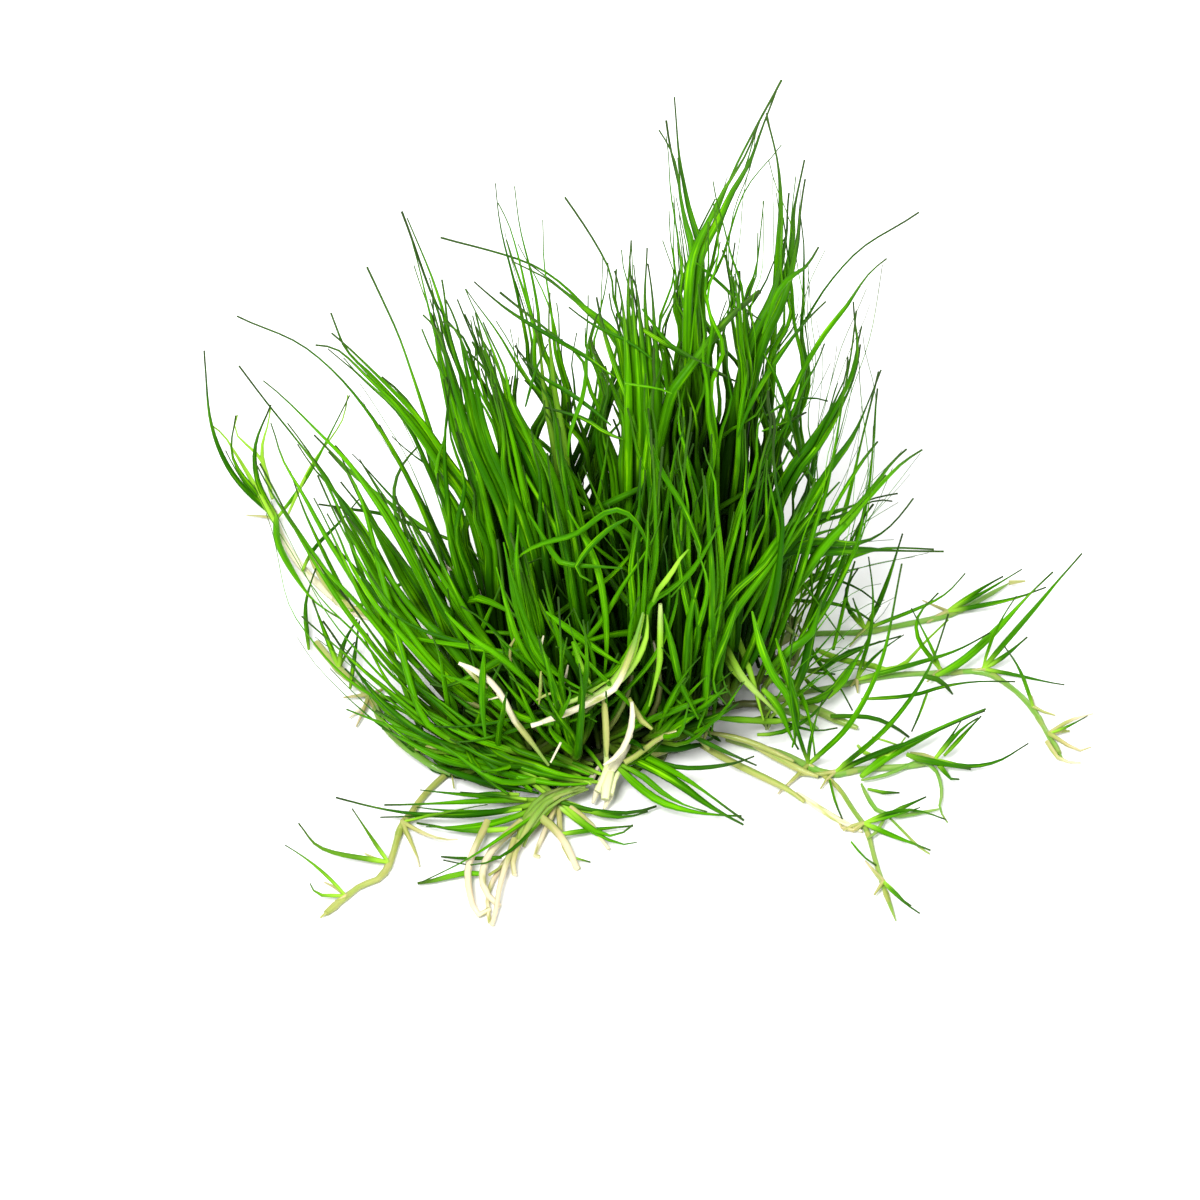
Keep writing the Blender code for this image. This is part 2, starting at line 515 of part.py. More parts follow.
class Parting:
    """Moves blades apart until none touches another, a crown, a runner or the mat."""

    def __init__(self, plants, mat):
        self.mat = mat
        points, radii, owner, free, first, last = [], [], [], [], [], []
        self.shoots, fixed = [], []
        for index, (plantlets, stem) in enumerate(plants):
            fixed += [(plantlet.centre[None], plantlet.radius, index) for plantlet in plantlets]
            if stem is not None:
                fixed.append((*stem, index))
            for one in (one for plantlet in plantlets for one in plantlet.shoots):
                start = len(points)
                count = len(one.line)
                points += list(one.line)
                radii += [one.radii[0] * ROOTED_SHARE, *one.radii[1:]]
                owner += [index] * count
                free += [0.0] + [1.0] * (count - 1)
                first += range(start, start + count - 1)
                last += range(start + 1, start + count)
                self.shoots.append(one)
        self.blade_points = len(points)
        for line, radius, index in fixed:
            start = len(points)
            points += list(line)
            radii += [radius] * len(line)
            owner += [index] * len(line)
            free += [0.0] * len(line)
            steps = range(start, start + max(len(line) - 1, 1))
            first += steps
            last += [min(step + 1, len(points) - 1) for step in steps]
        self.points = np.array(points)
        self.radii = np.array(radii)
        self.owner = np.array(owner)
        self.free = np.array(free)
        self.first = np.array(first)
        self.last = np.array(last)
        self.rest = self.points.copy()
        self.shoot_of = np.full(len(points), -1)
        start = 0
        for number, one in enumerate(self.shoots):
            self.shoot_of[start:start + len(one.line)] = number
            start += len(one.line)

    def candidates(self):
        """The pairs of segments that are near each other and may not touch."""
        a, b = np.triu_indices(len(self.first), 1)
        first_a, first_b = self.first[a], self.first[b]
        movable = (self.free[self.last[a]] + self.free[self.last[b]]) > 0
        same_shoot = (self.shoot_of[first_a] == self.shoot_of[first_b]) & (self.shoot_of[first_a] >= 0)
        at_crown = (self.owner[first_a] == self.owner[first_b]) & (
            self.free[first_a] + self.free[first_b] == 0) & (
            (self.shoot_of[first_a] < 0) | (self.shoot_of[first_b] < 0))
        keep = movable & ~same_shoot & ~at_crown
        a, b = a[keep], b[keep]
        middle = (self.points[self.first] + self.points[self.last]) / 2
        half = np.linalg.norm(self.points[self.last] - self.points[self.first], axis=1) / 2
        near = np.linalg.norm(middle[a] - middle[b], axis=1) < half[a] + half[b] + CANDIDATE_REACH
        return a[near], b[near]

    def push(self, a, b):
        """One round of pushing close segments apart."""
        moves = np.zeros_like(self.points)
        hits = np.zeros(len(self.points))
        a0, a1, b0, b1 = self.first[a], self.last[a], self.first[b], self.last[b]
        along_a = self.points[a1] - self.points[a0]
        along_b = self.points[b1] - self.points[b0]
        share_a, share_b = closest_shares(self.points[a0], along_a, self.points[b0], along_b)
        away = (self.points[a0] + share_a[:, None] * along_a
                - self.points[b0] - share_b[:, None] * along_b)
        distance = np.linalg.norm(away, axis=1)
        need = (self.radii[a0] * (1 - share_a) + self.radii[a1] * share_a
                + self.radii[b0] * (1 - share_b) + self.radii[b1] * share_b + CLEARANCE)
        deep = need - distance
        hit = deep > 0
        crossing = np.cross(along_a, along_b)
        tiny = distance < 1e-4
        away[tiny] = crossing[tiny]
        away /= np.maximum(np.linalg.norm(away, axis=1), 1e-9)[:, None]
        for ends, share, sign in (((a0, a1), share_a, 1), ((b0, b1), share_b, -1)):
            weights = np.stack([1 - share, share], axis=1)
            free = np.stack([self.free[ends[0]], self.free[ends[1]]], axis=1)
            scale = np.maximum((weights**2 * free).sum(1), 0.15)
            for which in (0, 1):
                part = (sign * 0.5 * deep * weights[:, which] * free[:, which] / scale)[:, None] * away
                np.add.at(moves, ends[which][hit], part[hit])
                np.add.at(hits, ends[which][hit], 1)
        self.points += moves / np.sqrt(np.maximum(hits, 1))[:, None]

    def settle(self):
        """Keeps each blade's bending smooth, and every blade above the table and the mat."""
        n = self.blade_points
        shift = (self.points - self.rest)[:n]
        for number, one in enumerate(self.shoots):
            members = np.flatnonzero(self.shoot_of == number)
            inner = members[1:-1]
            mean = (shift[inner - 1] + shift[inner + 1]) / 2
            self.points[inner] += STIFFNESS * (mean - shift[inner])
        low = self.radii[:n] + self.mat.height(self.points[:n, 0], self.points[:n, 1]) + CLEARANCE
        lifted = np.maximum(self.points[:n, 2], low)
        self.points[:n, 2] = np.where(self.free[:n] > 0, lifted, self.points[:n, 2])

    def run(self):
        """Rounds of pushing and settling, then the new lines go back to their shoots."""
        for number in range(ROUNDS):
            if number % CANDIDATE_ROUNDS == 0:
                pairs = self.candidates()
            self.push(*pairs)
            if number < ROUNDS - CANDIDATE_ROUNDS:
                self.settle()
        start = 0
        for one in self.shoots:
            one.line = self.points[start:start + len(one.line)]
            start += len(one.line)


# Meshes


def object_from(bm, name, collection=None):
    """An object whose mesh is this one in metres."""
    bmesh.ops.scale(bm, vec=(MM, MM, MM), verts=bm.verts)
    mesh = bpy.data.meshes.new(name)
    bm.to_mesh(mesh)
    bm.free()
    made = bpy.data.objects.new(name, mesh)
    (collection or bpy.data.collections["dwarf_hairgrass"]).objects.link(made)
    return made


def grow(bm, facet, one):
    """Draws a crown's facet out along a shoot's line, to a point."""
    tangents = np.gradient(one.line, axis=0)
    tangents /= np.linalg.norm(tangents, axis=1)[:, None]
    for number in range(1, len(one.line)):
        before = np.mean([vert.co for vert in facet.verts], axis=0)
        facet = bmesh.ops.extrude_discrete_faces(bm, faces=[facet])["faces"][0]
        if number == len(one.line) - 1:
            bmesh.ops.pointmerge(bm, verts=facet.verts, merge_co=one.line[-1])
            return
        for vert in facet.verts:
            out = np.array(vert.co) - before
            out -= tangents[number] * np.dot(out, tangents[number])
            vert.co = one.line[number] + out / np.linalg.norm(out) * one.radii[number]


def plantlet_mesh(plantlet):
    """A crown with its shoots drawn out of its facets."""
    bm = crown_mesh(plantlet.centre, plantlet.radius)
    for facet, one in zip([bm.faces[facet] for facet in plantlet.facets], plantlet.shoots):
        grow(bm, facet, one)
    return bm


def runner_mesh(runner, line, sprouts):
    """The stem as a bevelled curve that swells at its sprouts, made a mesh with welded caps."""
    curve = bpy.data.curves.new(runner.name, "CURVE")
    curve.dimensions = "3D"
    curve.bevel_depth = runner.radius * MM
    curve.bevel_resolution = 1
    curve.use_fill_caps = True
    spline = curve.splines.new("POLY")
    spline.points.add(len(line) - 1)
    for place, point in zip(line, spline.points):
        point.co = (*(place * MM), 1)
        nearest = min(np.linalg.norm(place - sprout.centre) for sprout in sprouts)
        point.radius = 1 + (NODE_SWELLING - 1) * math.exp(-((nearest / RUNNER_STEP) ** 2))
    guide = bpy.data.objects.new(runner.name + "_guide", curve)
    bpy.context.scene.collection.objects.link(guide)
    bpy.context.view_layer.update()
    evaluated = guide.evaluated_get(bpy.context.evaluated_depsgraph_get())
    mesh = bpy.data.meshes.new_from_object(evaluated)
    mesh.name = runner.name
    bpy.data.objects.remove(guide)
    bm = bmesh.new()
    bm.from_mesh(mesh)
    bmesh.ops.remove_doubles(bm, verts=bm.verts, dist=1e-6)
    bm.to_mesh(mesh)
    bm.free()
    made = bpy.data.objects.new(runner.name, mesh)
    bpy.data.collections["dwarf_hairgrass"].objects.link(made)
    return made


def join(target, piece):
    """Unites a hidden piece with the target."""
    piece.hide_render = True
    piece.display_type = "WIRE"
    union = target.modifiers.new(piece.name, "BOOLEAN")
    union.operation = "UNION"
    union.object = piece


# The whole clump


def material(name):
    made = bpy.data.materials.new(name)
    made.use_nodes = True
    shader = made.node_tree.nodes["Principled BSDF"]
    shader.inputs["Base Color"].default_value = (*MATERIALS[name], 1)
    shader.inputs["Roughness"].default_value = 0.4
    return made


def clear_scene():
    for old in list(bpy.data.objects):
        bpy.data.objects.remove(old)
    for name in ("dwarf_hairgrass", "joined_pieces"):
        made = bpy.data.collections.new(name)
        bpy.context.scene.collection.children.link(made)


def main():
    clear_scene()
    rng = np.random.default_rng(SEED)
    mat = Mat(np.array([tuft.crown for tuft in TUFTS]))
    tufts = []
    for tuft in TUFTS:
        x, y = tuft.crown
        foot = float(mat.height(np.array(x), np.array(y)))
        tufts.append(tuft_plantlet(tuft, np.array([x, y, foot + GAP + CROWN_RADIUS]), rng))
    front = sprout_plantlet(FRONT_SPROUT, CROWN_RADIUS)
    lines = [runner_line(runner) for runner in RUNNERS]
    sprouts = [[sprout_plantlet(sprout) for sprout in runner.sprouts] for runner in RUNNERS]
    plants = [([plantlet], None) for plantlet in (*tufts, front)]
    plants += [(group, (line, runner.radius * NODE_SWELLING))
               for runner, line, group in zip(RUNNERS, lines, sprouts)]
    Parting(plants, mat).run()

    looks = {name: material(name) for name in MATERIALS}
    mat.make("root_mat").data.materials.append(looks["root_mat"])
    for tuft, plantlet in zip(TUFTS, tufts):
        object_from(plantlet_mesh(plantlet), tuft.name).data.materials.append(looks["blade"])
    object_from(plantlet_mesh(front), "front_plantlet").data.materials.append(looks["blade"])
    joined = bpy.data.collections["joined_pieces"]
    for runner, line, group in zip(RUNNERS, lines, sprouts):
        stem = runner_mesh(runner, line, group)
        stem.data.materials.append(looks["runner"])
        for number, sprout in enumerate(group, 1):
            name = f"{runner.name}_sprout_{number}"
            join(stem, object_from(plantlet_mesh(sprout), name, joined))


main()
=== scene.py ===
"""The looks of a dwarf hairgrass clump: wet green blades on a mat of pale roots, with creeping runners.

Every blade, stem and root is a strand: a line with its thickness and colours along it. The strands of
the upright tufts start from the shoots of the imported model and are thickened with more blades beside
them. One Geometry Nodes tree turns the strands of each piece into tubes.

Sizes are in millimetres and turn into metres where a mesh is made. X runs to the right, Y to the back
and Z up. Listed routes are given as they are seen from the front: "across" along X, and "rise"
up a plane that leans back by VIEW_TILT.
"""

import logging
import math
from dataclasses import dataclass, field, replace
from enum import Enum
from typing import ClassVar

import bmesh
import bpy
import numpy as np
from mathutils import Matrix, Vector


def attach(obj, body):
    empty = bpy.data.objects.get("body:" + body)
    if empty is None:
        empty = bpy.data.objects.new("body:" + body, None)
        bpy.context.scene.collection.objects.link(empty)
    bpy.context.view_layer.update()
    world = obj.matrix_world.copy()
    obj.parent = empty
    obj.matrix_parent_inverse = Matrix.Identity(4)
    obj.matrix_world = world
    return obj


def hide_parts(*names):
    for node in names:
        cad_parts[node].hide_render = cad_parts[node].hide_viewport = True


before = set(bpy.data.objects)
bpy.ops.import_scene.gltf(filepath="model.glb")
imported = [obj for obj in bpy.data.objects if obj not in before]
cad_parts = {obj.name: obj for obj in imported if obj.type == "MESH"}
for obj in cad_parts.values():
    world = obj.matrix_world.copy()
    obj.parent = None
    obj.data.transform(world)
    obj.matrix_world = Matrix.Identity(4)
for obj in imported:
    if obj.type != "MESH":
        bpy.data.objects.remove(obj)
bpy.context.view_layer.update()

log = logging.getLogger("hairgrass")

Line = np.ndarray  # points, one a row
Rng = np.random.Generator
Pair = tuple[float, float]

MM = 0.001
SEED = 11
VIEW_TILT = math.radians(40)
FINEST = 0.07  # half the thickness of a hair
CLEAR = 1.02  # how far a strand's middle stays over the table, in its radii
WAVE_LENGTH = 11.0  # of the waves along a blade
BLADE_STEP = 1.3  # between the points of a blade that grows in a lock
ROUTE_STEP = 1.5  # and of one that follows a listed route
STEM_STEP = 0.7  # and of a creeping stem
WELD = 1e-6  # metres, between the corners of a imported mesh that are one
BODY = "root"


class Kind(Enum):
    """Which finish a strand gets. The node tree compares the number."""

    BLADE = 0
    STEM = 1
    ROOT = 2


def linear(red: int, green: int, blue: int) -> tuple[float, float, float, float]:
    """The linear colour of an 8-bit screen colour.

    Args:
        red: Its red, from 0 to 255.
        green: Its green.
        blue: Its blue.

    Returns:
        The colour with an alpha of 1.
    """
    parts = [part / 255 for part in (red, green, blue)]
    return (*[part / 12.92 if part < 0.04045 else ((part + 0.055) / 1.055) ** 2.4 for part in parts], 1.0)


def fan_point(across: float, rise: float, height: float) -> np.ndarray:
    """The point at this height that is seen at this place from the front.

    Args:
        across: Its place along X.
        rise: Its place up the leaning plane.
        height: Its height above the table.

    Returns:
        The point.
    """
    back = (rise - height * math.cos(VIEW_TILT)) / math.sin(VIEW_TILT)
    return np.array([across, back, height])


def rise_of(points: np.ndarray) -> np.ndarray:
    """How far up the leaning plane a point, or each point of a line, is seen."""
    return points[..., 1] * math.sin(VIEW_TILT) + points[..., 2] * math.cos(VIEW_TILT)


def seen_at(point: np.ndarray) -> Pair:
    """Where a point is seen from the front, as across and rise."""
    return float(point[0]), float(rise_of(point))


def smooth(line: Line, count: int, reach: float = 1.0) -> np.ndarray:
    """Evenly spread points along a smooth curve through a line's points.

    Args:
        line: The points that it passes.
        count: How many points to return.
        reach: The share of the curve's length that they cover.

    Returns:
        The points, one a row.
    """
    padded = np.vstack([2 * line[0] - line[1], line, 2 * line[-1] - line[-2]])
    steps = np.linspace(0, 1, 6, endpoint=False)[:, None]
    dense = []
    for before, start, end, after in zip(padded, padded[1:], padded[2:], padded[3:]):
        dense.append(0.5 * (2 * start + (end - before) * steps
                            + (2 * before - 5 * start + 4 * end - after) * steps**2
                            + (3 * start - before - 3 * end + after) * steps**3))
    dense = np.vstack([*dense, line[-1:]])
    run = np.concatenate([[0], np.cumsum(np.linalg.norm(np.diff(dense, axis=0), axis=1))])
    places = np.linspace(0, run[-1] * reach, count)
    return np.stack([np.interp(places, run, dense[:, axis]) for axis in range(3)], axis=1)


def length_of(line: Line) -> float:
    """How long a line is."""
    return float(np.linalg.norm(np.diff(line, axis=0), axis=1).sum())


def evenly(line: Line, step: float, least: int) -> np.ndarray:
    """Points about a step apart along a smooth curve through a line's points.

    Args:
        line: The points that it passes.
        step: How far apart the new points are.
        least: How many there are at least.

    Returns:
        The points, one a row.
    """
    return smooth(line, max(least, round(length_of(line) / step)))


def between(ends: Pair, share: float) -> float:
    """The number at this share of the way between two."""
    return ends[0] + (ends[1] - ends[0]) * share


def step_up(values: np.ndarray, low: float, high: float) -> np.ndarray:
    """A smooth step from 0 at low to 1 at high."""
    share = np.clip((values - low) / (high - low), 0, 1)
    return share * share * (3 - 2 * share)


def any_way(rng: Rng, flat: float = 1.0) -> np.ndarray:
    """A random direction, with its vertical part scaled by flat."""
    way = rng.normal(size=3) * (1, 1, flat)
    return way / np.linalg.norm(way)


@dataclass
class Strand:
    """One blade, stem or root.

    Attributes:
        line: The points that it follows, from its foot to its tip.
        radii: Half its thickness at each point.
        pale: How pale it is at each point, from 0, green, to 1, cream.
        dark: How dark and dry it is at each point, from 0 to 1.
        sway: How far it waves at each point.
        tint: Its own shade, from 0, deep, to 1, light.
        kind: Its finish.
    """

    line: Line
    radii: np.ndarray
    pale: np.ndarray
    dark: np.ndarray
    sway: np.ndarray
    tint: float
    kind: Kind


@dataclass(frozen=True)
class Habit:
    """How one sort of shoot grows.

    Attributes:
        radius: Half its thickness where it is thickest.
        foot: Its thickness at the foot, as a share of that.
        foot_to: Where it has reached its full thickness, as a share of the length.
        tip: And at the tip.
        thick_to: Where it starts to thin, as a share of the length.
        hair_from: Where it is as thin as at its tip.
        sheath: How long its pale sheath is.
        sheath_pale: How pale it is at the foot.
        body_pale: How pale it is past the sheath.
        tip_pale: And how much paler at the tip.
        dark: How dark its tip is.
        dark_from: Where the dark tip starts, as a share of the length.
        sway: How far it waves.
        tint: The range of its own shade.
        kind: Its finish.
    """

    radius: float = 0.27
    foot: float = 0.9
    foot_to: float = 0.12
    tip: float = 0.24
    thick_to: float = 0.55
    hair_from: float = 1.0
    sheath: float = 5.0
    sheath_pale: float = 0.75
    body_pale: float = 0.0
    tip_pale: float = 0.0
    dark: float = 0.8
    dark_from: float = 0.84
    sway: float = 1.5
    tint: Pair = (0.0, 1.0)
    kind: Kind = Kind.BLADE

    def of(self, radius: float, **changes: float | Pair | Kind) -> "Habit":
        """This habit at another thickness, and with whatever else changes."""
        return replace(self, radius=radius, **changes)

    def grow(self, line: Line, rng: Rng, scale: float = 1.0) -> Strand:
        """A strand of this habit along a line.

        Args:
            line: The points that it follows, from foot to tip.
            rng: The source of its own shade.
            scale: Its thickness, as a share of the habit's.

        Returns:
            The strand.
        """
        share = np.linspace(0, 1, len(line))
        run = share * length_of(line)
        radii = self.radius * scale * (1 - (1 - self.tip) * step_up(share, self.thick_to, self.hair_from))
        radii *= self.foot + (1 - self.foot) * step_up(share, 0, self.foot_to)
        radii = np.maximum(radii, min(scale, 1) * FINEST)
        pale = self.body_pale + (self.sheath_pale - self.body_pale) * (1 - step_up(run, 0, self.sheath))
        pale = np.clip(pale + self.tip_pale * step_up(share, 0.5, 1), 0, 1)
        line = line.copy()
        line[:, 2] = np.maximum(line[:, 2], radii * CLEAR)
        sway = np.minimum(self.sway * share, np.maximum(line[:, 2] - radii, 0))
        dark = self.dark * step_up(share, self.dark_from, 1)
        return Strand(line, radii, pale, dark, sway, float(rng.uniform(*self.tint)), self.kind)


# the sorts of shoots: blades, then sheaths, stems and roots
BLADE = Habit()
LONG = Habit(tip=0.38, thick_to=0.45, hair_from=0.8, dark=1.0, dark_from=0.62, sway=0.5)
WET = Habit(0.34, sheath_pale=0.5, tint=(0.0, 0.75), sway=0.9, dark_from=0.8)
FAN = Habit(0.33, thick_to=0.5, tip=0.26, sheath_pale=0.6, dark=1.0, dark_from=0.8, tint=(0.1, 1.0))
FLANK = Habit(0.25, thick_to=0.45, hair_from=0.95, tint=(0.2, 1.0), dark=1.0, dark_from=0.75)
SKIRT = Habit(foot=0.4, sheath=4.0, sheath_pale=0.55, sway=0.7)
SIDE = Habit(foot=0.5, sway=0.5)
LOW = replace(LONG, sheath=6.0, sheath_pale=0.6)
SHORT = Habit(0.24, thick_to=0.4, tip=0.3, sheath=3.0, dark=0.7, dark_from=0.75, sway=0.8)
YOUNG = Habit(0.19, foot=0.7, thick_to=0.3, hair_from=0.9, tip=0.35, sheath=2.2, sheath_pale=0.5, dark=1.0,
              dark_from=0.6, sway=0.5, tint=(0.0, 0.7))
LIME = replace(YOUNG, body_pale=0.42, sheath_pale=0.6, dark=0.4, dark_from=0.8)
NET = Habit(0.2, foot=0.6, thick_to=0.35, hair_from=0.85, tip=0.38, sheath=2.5, sheath_pale=0.25, dark=1.0,
            dark_from=0.62, sway=0.2, tint=(0.0, 0.6))
BRIGHT = NET.of(0.34, tip=0.26, tint=(0.7, 1.0), dark_from=0.85)
ARCH = Habit(0.24, foot=0.2, foot_to=0.3, tip=0.3, sheath_pale=0.0, dark=0.3, sway=0.2, tint=(0.2, 0.6))
THICK = Habit(0.34, foot=0.25, foot_to=0.25, thick_to=0.5, sheath_pale=0.1, tint=(0.3, 0.8), sway=0.3)
CREST = Habit(0.36, foot=0.5, thick_to=0.68, hair_from=0.97, tip=0.2, sheath_pale=0.0, dark=1.0,
              dark_from=0.74, tint=(0.2, 0.75), sway=0.5)
FLANK_LOCK = Habit(0.34, foot=0.3, foot_to=0.3, thick_to=0.6, hair_from=0.85, tip=0.22, sheath_pale=0.0,
                   dark=1.0, dark_from=0.6, tint=(0.0, 0.4), sway=0.2)
CROSS = Habit(0.19, foot=0.3, foot_to=0.25, thick_to=0.45, tip=0.35, sheath_pale=0.0, dark=1.0,
              dark_from=0.55, tint=(0.0, 0.6), sway=0.3)
CURVED = ARCH.of(0.3, tint=(0.1, 0.8), dark=0.0)
DEAD = Habit(0.13, tip=0.6, sheath_pale=0.0, dark=1.0, dark_from=-0.5, tint=(0.0, 0.2), sway=0.2)
THIN = Habit(0.16, tip=0.5, sheath_pale=0.1, dark=1.0, dark_from=0.5, sway=0.2)
DARK = Habit(0.2, sheath_pale=0.1, dark=0.9, dark_from=0.3, tint=(0.0, 0.2), sway=0.2)
YELLOW = Habit(0.26, foot=0.6, sheath_pale=0.7, body_pale=0.5, dark=0.2, sway=0.2, tint=(0.7, 1.0))
SHEATH = Habit(0.42, foot=0.8, tip=0.35, thick_to=0.3, sheath=6, sheath_pale=0.95, body_pale=0.55, dark=0.0,
               sway=0.0, tint=(0.4, 0.9))
OLD_SHEATH = SHEATH.of(0.28, foot=0.5, sheath_pale=0.55, body_pale=0.42, tip=0.5, dark=0.35, dark_from=0.3,
                       tint=(0.0, 0.4), kind=Kind.STEM)
WHITE_STEM = Habit(0.27, foot=0.5, tip=0.4, thick_to=0.7, sheath_pale=0.95, body_pale=0.92, dark=0.0,
                   sway=0.5, tint=(0.6, 1.0), kind=Kind.STEM)
CREAM_STEM = Habit(0.3, foot=0.55, tip=0.45, thick_to=0.7, sheath_pale=0.76, body_pale=0.74, dark=0.0,
                   sway=0.4, tint=(0.3, 0.8), kind=Kind.STEM)
LOOSE_STEM = Habit(0.26, foot=0.8, tip=0.8, sheath_pale=0.5, body_pale=0.6, tip_pale=0.3, dark=0.0, sway=0.2,
                   tint=(0.4, 0.8), kind=Kind.STEM)
FOOT_STEM = YELLOW.of(0.27, foot=0.3, foot_to=0.2, tip=0.3, sheath_pale=0.1, body_pale=0.6, tint=(0.4, 0.9))
GREEN_STEM = replace(CREAM_STEM, sheath_pale=0.4, body_pale=0.22, tint=(0.2, 0.7))
ROOT = Habit(0.24, foot=1.1, tip=0.75, thick_to=0.3, sheath_pale=0.7, body_pale=0.95, dark=0.0, sway=0.3,
             tint=(0.3, 1.0), kind=Kind.ROOT)
HAIR_ROOT = ROOT.of(0.16, tip=0.4)
MAT_ROOT = Habit(0.18, foot=1.2, tip=0.5, thick_to=0.2, sheath_pale=0.5, body_pale=0.36, dark=0.2,
                 dark_from=0.4, sway=0.0, tint=(0.1, 0.9), kind=Kind.ROOT)
MAT_BLADE = MAT_ROOT.of(0.22, sheath_pale=0.3, body_pale=0.0, tint=(0.0, 0.5), kind=Kind.BLADE)
MAT_STEM = Habit(0.36, foot=1.0, tip=1.0, sheath_pale=0.6, body_pale=0.5, dark=0.0, sway=0.0, tint=(0.2, 0.8),
                 kind=Kind.STEM)


@dataclass(frozen=True)
class Opening:
    """A place that few blades cross, as it is seen from the front.

    Attributes:
        across: The place along X.
        rise: And up the leaning plane.
        radius: How wide it is.
        share: The share of the blades across it that are left out.
        gain: How soon a line counts as wholly inside: 2.5 is with two fifths of its points.
    """

    across: float
    rise: float
    radius: float
    share: float
    gain: ClassVar[float] = 2.5

    def weight(self, line: Line) -> float:
        """How much of a line is in it, from 0 to its share."""
        inside = np.hypot(line[:, 0] - self.across, rise_of(line) - self.rise) < self.radius
        return self.share * min(1.0, self.gain * float(inside.mean()))


OPENINGS = [Opening(*row) for row in (
    (21.5, 28, 5.5, 1), (22, 19, 6, 1), (22.5, 10, 6, 1), (24.5, 3, 6, 1), (17, 26, 3.5, 0.8),
    (-6.2, 37, 4.5, 1), (-6, 30.5, 4, 1), (-2, 36.5, 3.5, 0.9), (-14.5, 32, 4.5, 0.9), (-18.5, 23, 5, 1),
    (-11, 26, 3, 0.8), (-27, 19, 5, 0.9), (-24, 4, 6, 1), (-19, 1.5, 5, 0.9), (9.5, 41.5, 6.5, 1),
    (16.5, 38, 5, 1), (18.5, 13, 3.5, 0.9), (19, 22, 4, 1), (1, 38.5, 4, 0.9), (13, 37, 3, 0.8),
    (19.5, 33.5, 5, 1), (15.6, 2, 4.6, 1), (18, 7, 3.6, 1), (12, -1.6, 3, 0.9),
)]


@dataclass(frozen=True)
class Parting:
    """A narrow gap beside which the wet blades cling together, as it is seen from the front.

    Attributes:
        across: Its middle along X.
        rise: And up the leaning plane.
        half: Half its width.
        reach: Half its height.
        lean: How far it leans aside for each millimetre up.
        room: How far out the blades still make way, in halves of its width.
        crossed: How wide a line is at least that crosses it, in the same.
    """

    across: float
    rise: float
    half: float
    reach: float
    lean: float = 0.0
    room: ClassVar[float] = 3.0
    crossed: ClassVar[float] = 2.2

    def open(self, line: Line) -> bool:
        """Moves a line's points out of the gap, to the side on which most of them are.

        Args:
            line: The points, which are moved in place.

        Returns:
            Whether the line crosses the gap, and so stays as it is.
        """
        rise = rise_of(line) - self.rise
        inside = np.abs(rise) < self.reach
        if not inside.any():
            return False
        aside = line[inside, 0] - self.across - self.lean * rise[inside]
        room = self.room * self.half
        if np.abs(aside).min() > room:
            return False
        if np.ptp(aside) > self.crossed * self.half and aside.min() < 0 < aside.max():
            return True
        side = 1.0 if aside.mean() > 0 else -1.0
        wide = self.half * (1 - (rise[inside] / self.reach) ** 2)
        along = aside * side
        pushed = wide + (along + wide) * (room - wide) / (room + wide)
        shift = np.zeros(len(line) + 2)
        shift[1:-1][inside] = side * np.where(along < room, np.maximum(pushed - along, 0), 0)
        line[:, 0] += 0.25 * shift[:-2] + 0.5 * shift[1:-1] + 0.25 * shift[2:]
        return False


PARTINGS = [Parting(*row) for row in (
    (2, 32.8, 0.7, 1.5), (0.6, 28.6, 0.8, 2.6, -0.34), (2.1, 26, 0.6, 1.4), (4.3, 33, 0.7, 1.8),
    (5.2, 34.6, 0.6, 1.4), (4.7, 27.9, 0.5, 1.1), (4.9, 24.4, 0.5, 1.3), (5.9, 30.3, 0.7, 2),
    (7.4, 32.5, 0.6, 1.2), (9.7, 32.8, 0.8, 2.3), (9.5, 28.1, 0.6, 1.6), (9.8, 25.1, 0.65, 1.6),
    (7.7, 25.6, 0.5, 1.3), (11, 30.4, 0.7, 1.2), (12.1, 30.4, 0.5, 0.9), (11.1, 27.2, 0.6, 1.1),
    (12.8, 32.3, 0.7, 1.5), (14.3, 31.4, 0.8, 2, 0.25), (15.5, 27, 0.9, 3.4, 0.1), (14.7, 23.6, 0.5, 1),
    (15.5, 20.6, 0.8, 2.2, -0.1), (-1.3, 26.8, 0.8, 2), (-1.7, 23.9, 0.8, 1.5), (-0.3, 25.6, 0.5, 1.3),
    (1, 23.2, 0.6, 1), (1, 21.5, 0.6, 0.9), (-4.6, 27.4, 0.7, 1.4), (-5.5, 24.5, 0.9, 2.1),
    (-4.5, 21.6, 0.7, 1.8), (-9.3, 22.3, 0.6, 2.1, -0.4), (-2.4, 28.3, 0.6, 1.1), (-2.2, 21, 0.5, 1.7),
    (-3.4, 25.4, 0.5, 1.2), (-11.6, 29.2, 0.5, 1, -0.3), (6.5, 22.5, 0.45, 1), (8.6, 20.4, 0.45, 1.1),
    (13.2, 22.2, 0.5, 1.4), (16.6, 17.6, 0.7, 1.4), (14.6, 17.4, 0.5, 1.2), (-8.2, 16.8, 0.5, 1.6, -0.4),
    (-12.2, 18.4, 0.8, 2.6, -0.5), (-10.2, 13, 0.6, 1.8, -0.5),
)]
PARTED = 0.75  # the share of the blades across a parting that are left out


def make_way(line: Line) -> bool:
    """Moves a line out of every parting, and tells whether it crosses one."""
    return any([parting.open(line) for parting in PARTINGS])


PALE_TIPS = ((3.2, 5.4), (-11.3, 3.1), (6.4, -3.0))  # of the shoots that are pale stems
LONG_TIPS = ((26.6, 40.5),)  # and of those that are as long and thin as the longest
TIP_REACH = 1.3  # how close a tip is to the place that picks it out


